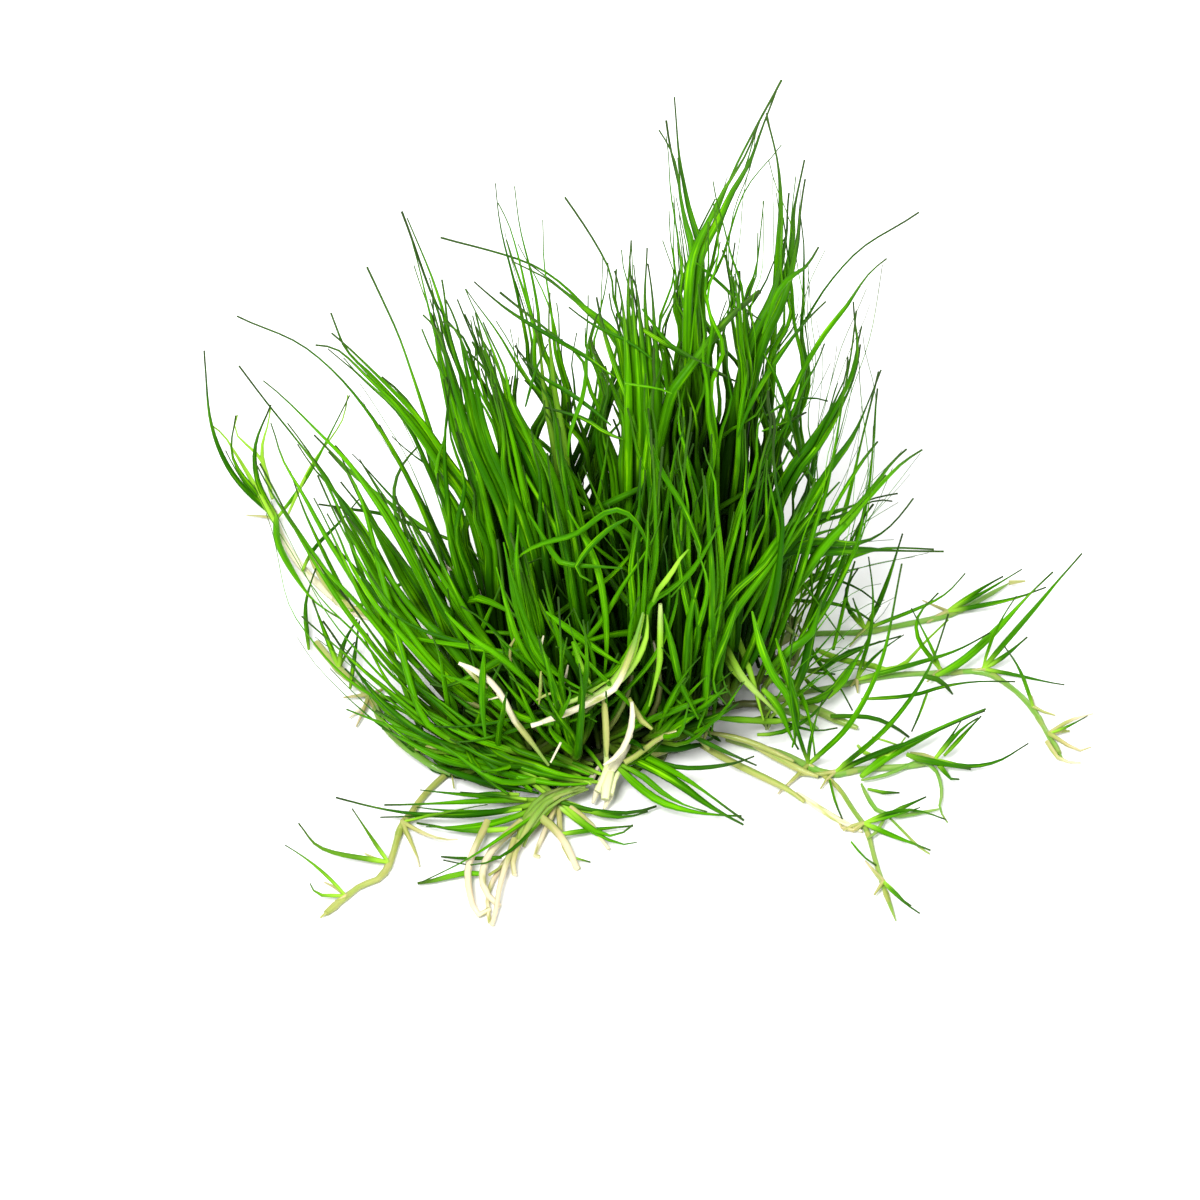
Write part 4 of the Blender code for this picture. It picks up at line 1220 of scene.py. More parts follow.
@dataclass
class RootMat(Part):
    """The flat tangle of creeping stems and roots under the tufts.

    Attributes:
        crowns: Where the tufts stand.
        roots: How many roots wind through it.
        steps: How many steps each root takes.
        stride: The length of a step.
        rim_height: How high the corners of its rim are at most.
        spread: How far from the middle of a crown its roots start.
        turn: How far a root turns with each step, in radians.
        stem_height: How high the stems between the crowns lie.
        lowest: The least height of a root.
    """

    crowns: list[np.ndarray]
    roots: int = 330
    steps: int = 11
    stride: float = 1.15
    rim_height: ClassVar[float] = 0.05
    spread: ClassVar[float] = 0.8
    turn: ClassVar[float] = 0.5
    stem_height: ClassVar[float] = 1.3
    lowest: ClassVar[float] = 0.15
    ending = "_tangle"
    slot = "root_mat"
    sides = 5
    step = 1.1

    def outline(self) -> None:
        """Reads the mat's middle and how far its rim is in each direction."""
        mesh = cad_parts[self.node].data
        points = np.array([vert.co for vert in mesh.vertices]) / MM
        self.height = points[:, 2].max()
        rim = points[points[:, 2] < self.rim_height][:, :2]
        self.middle = (rim.min(axis=0) + rim.max(axis=0)) / 2
        offset = rim - self.middle
        far = np.hypot(*offset.T)
        angle = np.arctan2(offset[:, 1], offset[:, 0])
        outer = far > 1.0
        order = np.argsort(angle[outer])
        self.angles, self.reaches = angle[outer][order], far[outer][order]

    def out(self, place: np.ndarray) -> float:
        """How far out a place is, from 0 at the middle to 1 at the rim.

        Args:
            place: The place on the table.

        Returns:
            How far out it is.
        """
        offset = place - self.middle
        reach = np.interp(math.atan2(offset[1], offset[0]), self.angles, self.reaches, period=2 * math.pi)
        return float(np.hypot(*offset) / reach)

    def top(self, place: np.ndarray) -> float:
        """How high the mat is at a place."""
        return self.height * max(1 - self.out(place) ** 2, 0.02) ** 0.38

    def wander(self, start: np.ndarray, rng: Rng) -> np.ndarray:
        """The line of a root that winds through the mat and turns back at its rim.

        Args:
            start: Where it starts, on the table.
            rng: The source of its turns.

        Returns:
            The line.
        """
        heading = rng.uniform(0, 2 * math.pi)
        place, level = start.copy(), rng.uniform(0.1, 1.0)
        line = []
        for _ in range(self.steps):
            line.append((*place, max(self.top(place) * level, self.lowest)))
            heading += rng.normal() * self.turn
            ahead = place + self.stride * np.array([math.cos(heading), math.sin(heading)])
            if self.out(ahead) > 1.0:
                heading += math.pi * rng.uniform(0.6, 1.4)
                ahead = place
            place = ahead
            level = float(np.clip(level + rng.normal() * 0.18, 0.05, 1.0))
        kept = [line[0]] + [point for before, point in zip(line, line[1:]) if point[:2] != before[:2]]
        return np.array(kept if len(kept) > 3 else line[:2] + [np.add(line[0], (0.4, 0.3, 0))])

    def links(self) -> list[tuple[int, int]]:
        """Which crowns are joined by a creeping stem: the shortest tree that reaches all.

        Returns:
            The numbers of the two crowns of each stem.
        """
        places = np.array([crown[:2] for crown in self.crowns])
        joined, free, found = [0], set(range(1, len(places))), []
        while free:
            pairs = [(float(np.hypot(*(places[a] - places[b]))), a, b) for a in joined for b in free]
            _, start, end = min(pairs)
            found.append((start, end))
            joined.append(end)
            free.remove(end)
        return found

    def grow(self, rng: Rng) -> list[Strand]:
        """All the strands of the mat.

        Args:
            rng: The source of what differs between its strands.

        Returns:
            The strands.
        """
        self.outline()
        for start, end in self.links():
            ends = [self.crowns[index] * (1, 1, 0) + (0, 0, self.stem_height) for index in (start, end)]
            middle = (ends[0] + ends[1]) / 2 + rng.normal(size=3) * (0.6, 0.6, 0.15)
            line = smooth(np.array([ends[0], middle, ends[1]]), 8)
            self.strands.append(MAT_STEM.grow(line, rng, rng.uniform(0.85, 1.15)))
        for number in range(self.roots):
            if number % 3:
                crown = self.crowns[rng.integers(len(self.crowns))]
                start = crown[:2] + rng.normal(size=2) * self.spread
            else:
                turn, far = rng.uniform(0, 2 * math.pi), math.sqrt(rng.uniform(0.1, 0.92))
                reach = np.interp(turn, self.angles, self.reaches, period=2 * math.pi)
                start = self.middle + far * reach * np.array([math.cos(turn), math.sin(turn)])
            habit = MAT_BLADE if number % 5 < 3 else MAT_ROOT
            line = self.wander(start, rng)
            if rng.uniform() > openness(line):
                self.strands.append(habit.grow(line, rng, rng.uniform(0.7, 1.5)))
        return self.strands


@dataclass
class Runner(Part):
    """A creeping stem on the table, with a plantlet at each of its joints.

    Attributes:
        route: The across and rise of its points on the table.
        joints: The across and rise of its plantlets.
        radius: Half the stem's thickness.
        habit: How the stem grows.
        young: How many more young blades each plantlet has.
        hairs: And how many root hairs.
        swelling: How much thicker it is at a joint, as a share.
        leaf: How the plantlets' blades grow.
        lie: How high its middle lies, in its radii.
        joint_height: How high the plantlets' feet are.
        joint_rise: And how much farther up they are seen for that.
        root_length: How long a shoot is at most that is a cut root.
        root_height: And how high its tip is at most.
        leaf_lengths: The lengths of the young blades.
        hair_lengths: The lengths of the root hairs.
    """

    route: tuple[Pair, ...]
    joints: tuple[Pair, ...]
    radius: float
    habit: Habit = CREAM_STEM
    young: int = 1
    hairs: int = 2
    swelling: float = 0.35
    leaf: Habit = YOUNG
    lie: ClassVar[float] = 1.25
    joint_height: ClassVar[float] = 0.62
    joint_rise: ClassVar[float] = 0.48
    root_length: ClassVar[float] = 5.6
    root_height: ClassVar[float] = 0.6
    leaf_lengths: ClassVar[Pair] = (2.0, 6.5)
    hair_lengths: ClassVar[Pair] = (1.0, 2.6)
    ending = "_stem"
    slot = "runner"
    sides = 7
    step = 0.9

    def stem(self, rng: Rng) -> Strand:
        """The stem itself, swollen at its joints and pointed at its end.

        Args:
            rng: The source of its unevenness.

        Returns:
            The strand.
        """
        height = self.radius * self.lie
        up = height * math.cos(VIEW_TILT)
        line = np.array([fan_point(across, rise + up, height) for across, rise in self.route])
        line = evenly(line, STEM_STEP, 8)
        strand = self.habit.of(self.radius, foot=1.0, tip=0.75).grow(line, rng)
        nearest = np.min([np.linalg.norm(line - joint, axis=1) for joint in self.places], axis=0)
        swollen = self.swelling * np.exp(-((nearest / 0.6) ** 2))
        strand.radii *= 1 + swollen + rng.normal(size=len(line)) * 0.03
        ahead = length_of(line) * (1 - np.linspace(0, 1, len(line)))
        strand.radii *= 0.35 + 0.65 * step_up(ahead, 0, 1.6)
        strand.sway[:] = 0
        return strand

    def scale(self, stem: Strand, joint: np.ndarray, rng: Rng) -> Strand:
        """The thin brown scale that wraps the stem past a joint.

        Args:
            stem: The stem.
            joint: The joint.
            rng: The source of its shade.

        Returns:
            The strand.
        """
        start = int(np.argmin(np.linalg.norm(stem.line - joint, axis=1)))
        line = stem.line[start:start + 4]
        if len(line) < 3:
            line = stem.line[-3:]
        wrap = self.habit.of(self.radius * 1.18, tip=0.75, body_pale=0.62, dark=0.25, dark_from=0.3, sway=0)
        return wrap.grow(smooth(line, 4), rng)

    def grow(self, rng: Rng) -> list[Strand]:
        """All the strands of the runner.

        Args:
            rng: The source of what differs between its strands.

        Returns:
            The strands.
        """
        self.places = [fan_point(across, rise + self.joint_rise, self.joint_height)
                       for across, rise in self.joints]
        stem = self.stem(rng)
        self.strands.append(stem)
        tips = [[] for _ in self.places]
        for shoot in Skeleton(self.node).shoots:
            index = int(np.argmin([np.linalg.norm(place - shoot[0]) for place in self.places]))
            line = np.vstack([self.places[index], shoot[1:]])
            tips[index].append(line[-1])
            if line[-1][2] < self.root_height and length_of(line) < self.root_length:
                self.strands.append(HAIR_ROOT.grow(smooth(line, 6), rng, 1.2))
            else:
                self.strands.append(self.leaf.grow(smooth(line, 10), rng, rng.uniform(0.9, 1.3)))
        for place, ends in zip(self.places, tips):
            self.strands.append(self.scale(stem, place, rng))
            self.plantlet(place, ends, rng)
        return self.strands

    def plantlet(self, place: np.ndarray, tips: list[np.ndarray], rng: Rng) -> None:
        """Adds young blades and root hairs at a joint.

        Args:
            place: The joint.
            tips: The tips of the shoots that it has already.
            rng: The source of their ways and lengths.
        """
        ways = [tip - place for tip in tips] or [np.array([0, 0, 5.0])]
        for _ in range(self.young):
            way = ways[rng.integers(len(ways))]
            way = way / np.linalg.norm(way) + any_way(rng) * 0.55
            way[2] = abs(way[2]) + 0.15
            share = np.linspace(0, 1, 6)[:, None]
            droop = any_way(rng, 0.4) * share**2 * 0.25
            line = place + rng.uniform(*self.leaf_lengths) * (way * share + droop)
            self.strands.append(self.leaf.grow(line, rng, rng.uniform(0.7, 1.0)))
        for _ in range(self.hairs):
            turn = rng.uniform(0, 2 * math.pi)
            out = np.array([math.cos(turn), math.sin(turn), -0.12])
            bend = any_way(rng, 0.0) * 0.3
            share = np.linspace(0, 1, 5)[:, None]
            line = place + rng.uniform(*self.hair_lengths) * (out * share + bend * share**2)
            self.strands.append(HAIR_ROOT.grow(line, rng, rng.uniform(0.8, 1.3)))


@dataclass
class FrontPlantlet(Part):
    """The crown in front of the mat, with low blades to both sides and cut white roots.

    Attributes:
        low_below: The rise below which a shoot's tip is low.
        roots_below: The rise below which it is a root, where its across is past roots_from.
        roots_from: The across past which the roots end.
        sheath: The across, rise and height of the points of the old sheath that the others lie beside.
        sheaths: How many old sheaths there are.
    """

    low_below: ClassVar[float] = -11.5
    roots_below: ClassVar[float] = -12.0
    roots_from: ClassVar[float] = -10.0
    sheath: ClassVar[tuple[tuple[float, float, float], ...]] = (
        (-7.0, -11.4, 0.7), (-6.3, -9.9, 1.1), (-4.9, -8.2, 1.6), (-3.4, -7.4, 1.8), (-1.6, -6.8, 1.7))
    sheaths: ClassVar[int] = 8
    ending = "_shoots"
    sides = 7
    step = 1.2

    def grow(self, rng: Rng) -> list[Strand]:
        """All the strands of the plantlet.

        Args:
            rng: The source of what differs between its strands.

        Returns:
            The strands.
        """
        skeleton = Skeleton(self.node)
        for shoot in skeleton.shoots:
            line = np.vstack([skeleton.crown, shoot[1:]])
            across, rise = seen_at(line[-1])
            root = rise < self.roots_below and across > self.roots_from
            low = rise < self.low_below
            habit = ROOT if root else LOW
            self.strands.append(habit.grow(smooth(line, 12), rng, 1.0 if root else 0.6 if low else 0.9))
            if not low:
                beside = smooth(line, 10, rng.uniform(0.5, 0.9)) + any_way(rng, 0.4) * 0.5
                beside += any_way(rng, 0.4) * np.linspace(0, 1, 10)[:, None] ** 1.6 * 1.6
                self.strands.append(SIDE.grow(beside, rng, 0.7))
        for route in FRONT_ROUTES:
            self.strands.append(route.grow(rng))
        for _ in range(self.sheaths):
            line = np.array([fan_point(*place) for place in self.sheath])
            line += rng.normal(size=3) * (0.4, 0.4, 0.2) + rng.normal(size=line.shape) * 0.12
            self.strands.append(OLD_SHEATH.grow(smooth(line, 10), rng, rng.uniform(0.7, 1.1)))
        return self.strands


@dataclass
class LooseShoots:
    """Blades and pale stems that lie loose over the tufts or arch between them.

    Attributes:
        name: The piece's name. They stand for no node.
        routes: The routes that they follow.
        slot: The record's material slot.
        strands: Their strands, once they have grown.
    """

    name: str
    routes: tuple[Route, ...] = ()
    slot: str = "blade"
    strands: list[Strand] = field(default_factory=list)

    def grow(self, rng: Rng) -> list[Strand]:
        """All their strands."""
        self.strands = [route.grow(rng) for route in self.routes]
        return self.strands

    def dress(self, tubes: Tubes) -> bpy.types.Object:
        """Makes their piece."""
        return settle(tubes.make(self.name, self.strands, sides=8, step=1.0), self.slot)


@dataclass
class Skirt(LooseShoots):
    """Low blades that lie out from the front of the mat to the left. They aren't drawn by hand.

    Attributes:
        count: How many there are.
        across: Where their feet are.
        rise: And how far up.
        reach: How far aside the longest go.
        climb: And how far up.
    """

    count: int = 30
    across: ClassVar[Pair] = (-7.0, 1.5)
    rise: ClassVar[Pair] = (-6.9, -3.6)
    reach: ClassVar[Pair] = (-17.0, -9.0)
    climb: ClassVar[Pair] = (2.0, 9.0)

    def grow(self, rng: Rng) -> list[Strand]:
        """All the strands of the skirt.

        Args:
            rng: The source of what differs between its strands.

        Returns:
            The strands.
        """
        for _ in range(self.count):
            start = np.array([rng.uniform(*self.across), rng.uniform(*self.rise)])
            way = rng.uniform(0.5, 1.0) * np.array([rng.uniform(*self.reach), rng.uniform(*self.climb)])
            end = start + way
            middle = (start + end) / 2 + (0, rng.uniform(-1.6, 0.2))
            seen = tuple((float(across), float(rise)) for across, rise in (start, middle, end))
            height = (rng.uniform(1.2, 2.2), rng.uniform(1.5, 5.0))
            self.strands.append(lies(SKIRT, height, *seen).grow(rng))
        return self.strands


FRONT_ROUTES = (
    lies(ROOT.of(0.36), (1.2, 0.5), (-4.9, -9.4), (-3.4, -10.6), (-2.5, -12), (-1.9, -13.4)),
    lies(ROOT.of(0.34), (1.3, 0.5), (-6.4, -9.8), (-7.6, -10.8), (-8.9, -12.2), (-9.5, -13.9), (-9.1, -15.5),
        (-8.1, -16.4)),
    lies(ROOT.of(0.26), (1, 0.5), (-7, -11.2), (-7.8, -13.6), (-8.3, -15.6), (-8.5, -17), (-8.8, -17.8)),
    lies(ROOT.of(0.32), (1.2, 0.4), (-9.2, -9.8), (-10.5, -12.6), (-10.7, -13.9), (-10.5, -15.5), (-9.9, -17),
        (-9.4, -17.3), (-8.9, -16.7)),
    lies(ROOT.of(0.28), (0.9, 0.5), (-6.6, -11.4), (-7.1, -12.8), (-7, -14.1)),
    lies(ROOT.of(0.2), (1.2, 0.4), (-2.4, -8.6), (-0.8, -9.9), (0.1, -11.3), (0.7, -12)),
    lies(CREAM_STEM.of(0.24), (0.8, 0.6), (-9, -14), (-8.4, -13.5), (-7.8, -13.2)),
    lies(YOUNG, (0.6, 0.4), (-2.3, -12.6), (-1.4, -12.9), (-0.7, -13)),
    lies(THIN, (0.9, 0.5), (-8, -12.6), (-10.6, -12.7), (-12.9, -12.6)),
    lies(THIN.of(0.24, body_pale=0.2), (0.7, 0.4), (-9.7, -13.9), (-11.3, -13.9), (-13.2, -14.4),
        (-14.8, -14.7)),
    lies(THIN.of(0.2), (1.4, 0.5), (-3.2, -8.2), (-0.6, -8.9), (2.4, -9.1), (4.6, -8.6)),
    lies(YOUNG.of(0.24), (1, 0.5), (-3.4, -10.8), (-1, -10.5), (2.6, -10.2)),
    lies(YOUNG, (1.6, 1.2), (-6, -8), (-8.9, -7.7), (-11.5, -7.5)),
    lies(YOUNG, (1.4, 0.6), (-6.4, -8.8), (-10.8, -9.3), (-14.1, -9.3), (-17.9, -9.4)),
    lies(BLADE.of(0.24, sway=0.2), (1.2, 0.8), (-6.2, -10.3), (-10.6, -10.5), (-13.6, -10.2)),
)

FRONT_BLADES = (
    stands(ARCH, (-6.5, -7), (-7.4, 10.8), (-6.2, 12.2), (-4.1, 13.1), (-2.5, 13.4), (-0.4, 14.7), (1, 15.7),
        (2.4, 15.2), (3.7, 13.4), (4.2, 10.8)),
    stands(ARCH, (-7, -8.5), (2.4, 15), (1.2, 14.4), (0.2, 13.6), (-0.9, 12.5), (-1.9, 11), (-1.6, 10.3),
        (-0.6, 9.8)),
    stands(ARCH, (-6, -8), (-5.8, 15.4), (-4.1, 12.6), (-3.3, 11.5), (-2, 11.2), (1.8, 10.9)),
    lies(CURVED, (4, 2.2), (-12.2, -1.4), (-10.6, -3.4), (-8.3, -5.3), (-5.5, -7.4)),
    lies(CURVED.of(0.34), (4, 2.4), (-18.3, 4.5), (-16, 2.4), (-13.7, 0.1), (-11.8, -1.8), (-9.4, -4.1),
        (-7.1, -6), (-5.6, -7.2)),
    lies(CURVED, (3.4, 2), (-11.5, -2.7), (-10.4, -5), (-9.4, -6.2), (-7.4, -7.6)),
    lies(replace(CURVED, tint=(0.6, 1)), (4, 2.6), (-10.4, -1.8), (-8.5, -4.1), (-6.6, -4.9), (-5.2, -5.2),
        (-3.4, -5.9), (-0.6, -6.3)),
    lies(replace(CURVED, tint=(0.5, 0.9)), (4.4, 2.8), (-8.8, -1.6), (-7.8, -3.4), (-5.4, -4.5), (-3, -5.2),
        (-0.8, -6)),
    lies(CURVED, (2.6, 2.4), (-12.8, -4.4), (-9.8, -5.4), (-6.4, -6.2), (-3.4, -6.7), (-1, -6.6)),
    lies(CURVED, (1.8, 2), (-13.6, -5.2), (-10.6, -6.3), (-8, -6.9), (-5, -7.5)),
    lies(YOUNG, (1.8, 1.2), (-6.6, -7.6), (-9, -7.5), (-11.5, -7.6)),
    lies(DARK, (4.4, 2.2), (5.5, -1.5), (7.4, -2.7), (9.7, -3.9), (12.8, -5.3)),
    lies(DEAD, (8, 5), (13.2, 8.6), (13.9, 6.8), (14.2, 5.2), (14.4, 4.1)),
    lies(DEAD, (5, 3.4), (13, 3.7), (14.4, 3.6), (15.9, 3.5)),
    lies(DEAD, (9, 7.6), (9.7, 5.4), (10.4, 4.6), (11.3, 3.8)),
    lies(DEAD, (2.6, 4.4), (-15.8, -3.8), (-15, -2.6), (-14.4, -1.4)),
    lies(DEAD.of(0.18), (14, 15), (-8.4, 14.8), (-9.8, 15.6), (-11, 16.2)),
    stands(ARCH, (-8.5, -6.5), (3.4, 5.2), (4.3, 8.3), (6.2, 9.5), (8, 11.5), (9.6, 14.4)),
    stands(ARCH, (-4, -8), (3.6, 23.5), (4.2, 20.5), (5.2, 18.3), (6.6, 16.1), (7.7, 13.6), (8.2, 11.9),
        (7.2, 10.2), (5.8, 8.6)),
    stands(THICK, (-8, -2), (8.5, -2.5), (8.7, 2), (9.1, 5.7), (10.7, 8.7), (13.9, 11.8), (16.4, 16.4)),
    stands(THICK, (-8, -1), (9.2, -2.5), (9.8, 2.8), (10.6, 6.4), (12.4, 9.2), (15.4, 13.4), (17.6, 18.2)),
    lies(DARK, (3, 2), (3.6, -4.2), (5.2, -5.1), (7.5, -5.5), (10.8, -5.2), (12.7, -4.6)),
    lies(BRIGHT.of(0.34), (2.6, 0.8), (1.5, -5.4), (3.5, -7.2), (5.5, -8.4), (8.4, -9.1), (11.6, -9.3)),
    lies(BRIGHT.of(0.27), (3, 0.9), (1.8, -5.2), (3.9, -6.4), (5.9, -8), (8.8, -9)),
    stands(LONG, (-8, -5), (2.6, 3), (3.8, 8.4), (4.5, 12), (4.5, 17), (4.2, 22)),
    stands(ARCH, (-8, -10.5), (4.4, 8.2), (3.1, 5.6), (1.6, 3), (-0.4, 1.2), (-3.4, 0.2)),
    stands(ARCH, (-8.5, -11), (-7.6, 12), (-6, 6.6), (-3.6, 2.4), (-0.6, 0), (0.6, -0.4)),
    stands(ARCH, (-8.5, -11.5), (-8.4, 11), (-6.8, 5.4), (-4.6, 1.8), (-2.2, -0.4), (-0.2, -1.6)),
    stands(THIN.of(0.1, dark=0.2), (-1.2, -1), (2, 25.8), (3.2, 25.6), (4.6, 25.4), (5.8, 25)),
    stands(CURVED, (-6.5, -11.5), (-6.6, 14.4), (-6.8, 11.3), (-6.4, 8), (-5.7, 5.2), (-4.5, 3.1),
        (-2.4, 1.5), (-0.6, 0.6)),
    stands(CURVED, (-7, -11), (-7.8, 13), (-7.3, 10.6), (-6.6, 7.1), (-5.2, 3.4), (-3.4, 1.5), (-1.5, 0.6)),
    stands(CURVED, (-8.5, -9.5), (-4.4, 7.4), (-2.2, 5.7), (-0.1, 4.2), (1.6, 3.1)),
    stands(CURVED.of(0.2, dark=0, tint=(0.8, 1)), (-9.5, -11), (-2.2, 4.5), (-1.7, 3.1), (-0.7, 1.4)),
    stands(CURVED, (-8.6, -6.4), (6.8, 0.2), (7, 3.6), (7.4, 7.4), (8.6, 11.6)),
    stands(CURVED, (-8.4, -10.2), (5.2, 7.2), (6, 4), (6.6, 1.4), (8, -1.4)),
    stands(CURVED, (-7.6, -9.6), (9, 6), (8.8, 2.4), (8.6, -0.6), (8, -2.2)),
    stands(CURVED, (-5.5, -9.5), (-2.6, 15.6), (-0.6, 12), (0.3, 8.4), (0.6, 4.6), (0.3, 1.2)),
    stands(CURVED, (-10.4, -13.4), (-9.4, 4.2), (-9.6, 0.6), (-9.4, -3)),
    stands(CURVED, (-8.5, -11.5), (-12.6, 7.4), (-10.4, 5.2), (-8.2, 3.8), (-5.6, 1.4), (-3.6, -0.4)),
    stands(CURVED, (-10, -12), (-12.8, 2.2), (-9.8, 1.2), (-7, -1), (-3.6, -1.8), (-0.8, -1)),
)

PALE_STEMS = (
    stands(replace(WHITE_STEM, tip_pale=-0.75, tip=0.3), (-13.5, -9), (-5.3, -1.8), (-2.8, -0.9), (-0.4, 0.2),
        (1.2, 1.2), (2.1, 3), (2.8, 4.8), (3.5, 7.4)),
    stands(YELLOW.of(0.4), (-11.2, -8.6), (-1.2, 0.2), (0.6, 1), (1.9, 2.6), (2.8, 4.6), (3.6, 7.2)),
    stands(YELLOW.of(0.3), (-10.8, -8.4), (0.4, 0.6), (1.8, 2), (2.9, 3.4), (3.7, 5.2), (3.8, 7.2)),
    stands(YELLOW.of(0.2), (-11.4, -10.8), (-3.9, -0.2), (-2.3, 0), (-0.4, 1.1), (0.7, 1.8)),
    stands(WHITE_STEM.of(0.42), (-13.6, -13.5), (-5.6, -1.9), (-5.2, -1.75), (-4.8, -1.6)),
    stands(replace(WHITE_STEM, tip_pale=-0.6), (-10.5, -12.5), (-11.5, 3.2), (-10, 2.5), (-8.6, 1.3),
        (-7.9, 0.4), (-7.2, -1.2), (-5.3, -3.7), (-4.2, -5.2)),
    stands(WHITE_STEM.of(0.2), (-11, -11), (-7.9, 0.5), (-8.5, 0.4), (-9.1, 0.3)),
    stands(CREAM_STEM.of(0.28), (-11, -12.6), (0.3, 0.4), (0.45, -1.6), (0.5, -4.5)),
    stands(WHITE_STEM, (-11, -13), (2.6, 0), (2.6, -2.3), (1.4, -4.6), (0.2, -5.4)),
    stands(CREAM_STEM.of(0.26), (-10, -11), (2.4, 0.3), (3.3, -1.3), (4.3, -2.1)),
    stands(replace(YELLOW, body_pale=0.35), (-8, -10), (4.9, 8), (4.9, 5), (4.8, 2.4), (4.3, 0.9), (4, -0.4)),
    stands(YELLOW.of(0.22, sheath_pale=0.15, body_pale=0.7, tip_pale=-0.5), (-8.8, -8.2), (4.3, 8.2),
        (4.6, 9.1), (5.3, 9.7), (6, 10.8), (6.6, 11.9), (7.2, 12.4)),
    lies(ROOT.of(0.24), (3.6, 5), (2, -5), (3.4, -4.2), (4.8, -3.1), (6.4, -2.5)),
    lies(FOOT_STEM.of(0.32), (10, 4.6), (11.4, 8.2), (13.1, 7.4), (14.8, 6.5), (16.5, 5.3)),
    lies(FOOT_STEM, (10, 4.8), (13.6, 9.5), (14.3, 8.3), (15.1, 6.9), (16.2, 5.5)),
    lies(FOOT_STEM.of(0.3), (9.5, 3.4), (9.6, 6), (11, 3.2), (11.9, 1.7), (13.6, 0), (14.6, -1.1)),
    lies(replace(FOOT_STEM, body_pale=0.4), (10.5, 3.4), (10.5, 8.2), (11.4, 5), (12.2, 3), (12.9, 0.6),
        (13.5, -1.6)),
    lies(replace(FOOT_STEM, body_pale=0.3), (3.6, 2), (9.4, -1.4), (12.4, -1.6), (14.8, -1.7), (17.2, -1.3)),
    lies(CREAM_STEM, (4, 2.6), (9.1, -1.6), (8.6, -2.4), (8.4, -3.2)),
    lies(CREAM_STEM, (4, 2.2), (7.4, -1.6), (8, -2.8), (9, -4)),
    lies(CREAM_STEM, (0.9, 0.5), (12.7, -3.7), (16.7, -5.8), (17.9, -6.2)),
    lies(CREAM_STEM, (1.4, 0.5), (8.3, -3.7), (11.7, -5.4), (15.8, -7.5), (16.7, -8.3)),
    lies(CREAM_STEM.of(0.26), (1.8, 1), (9, -2.6), (12.4, -3.4), (15.9, -5)),
    lies(WHITE_STEM, (0.5, 0.4), (16.2, -7.5), (18.1, -8.8), (20, -9.9), (21.4, -10.6)),
    lies(CREAM_STEM, (4.4, 3.4), (6.4, -0.2), (7.4, -1.2), (8.6, -2.2)),
    lies(GREEN_STEM.of(0.28), (2.4, 1.2), (13.6, -0.6), (15.8, -1), (18, -2.4)),
    lies(WHITE_STEM, (9, 8), (-15, 11.1), (-13.2, 11.1), (-11.7, 10.8), (-10.6, 9.4), (-9.6, 8.4)),
    lies(CREAM_STEM.of(0.18), (9, 9.6), (-12, 10.8), (-11.8, 11.8), (-11.4, 12.6)),
    lies(CREAM_STEM, (1.4, 1), (-24.8, 12.6), (-23.3, 10), (-21.6, 8.2), (-18.8, 6.8)),
    lies(CREAM_STEM, (2, 2.6), (-15.2, -3.9), (-14.2, -3.9), (-12, -3.3)),
    lies(replace(GREEN_STEM, body_pale=0.35), (1.6, 0.8), (-17.4, -2.8), (-15.4, -4.3), (-13.6, -5.5),
        (-12.3, -6.1)),
    lies(HAIR_ROOT.of(0.12), (0.4, 0.3), (-16.1, -10.4), (-15.6, -11.2), (-15.1, -11.9)),
    lies(CREAM_STEM.of(0.14), (0.8, 0.4), (-12.2, -6), (-12, -7.2)),
    lies(CREAM_STEM, (6, 5), (-12.6, 1.4), (-11.4, 0.2), (-9.8, -0.6)),
    stands(WHITE_STEM.of(0.12), (-9, -9), (-4.6, 5.4), (-5, 4), (-5.6, 3)),
    stands(WHITE_STEM.of(0.12), (-10, -10), (-2.6, 3), (-3, 1.6), (-3.4, 0.6)),
    stands(CREAM_STEM.of(0.12), (-9, -9), (-6.8, 5.4), (-7.4, 4.4), (-7.2, 3)),
    lies(FOOT_STEM.of(0.3, body_pale=0.7), (9, 6), (10, 4.7), (10.7, 3), (11.7, 1.6)),
    lies(FOOT_STEM.of(0.22, body_pale=0.5), (6, 4.6), (6.9, 1.6), (7.4, 0.4), (8.1, -1.1)),
    stands(CREAM_STEM.of(0.15), (-11.5, -11.5), (-4.8, 2.5), (-4.9, 1), (-5.1, -0.1)),
    stands(CREAM_STEM.of(0.13), (-11.6, -11.6), (-3.5, 0.9), (-4.4, 0.6), (-5.3, 0.2)),
    stands(THIN.of(0.18, dark=0.2, body_pale=0.5), (-10.5, -11), (-2.2, 4.9), (-1.5, 3.1), (-0.8, 1.6)),
    stands(WHITE_STEM.of(0.2), (-13, -13.4), (-3.2, -3.3), (-3.5, -4), (-3.9, -4.9)),
    stands(WHITE_STEM.of(0.34), (-11.3, -11.4), (-8.3, 0.7), (-8, 0.4), (-7.8, -0.1)),
)

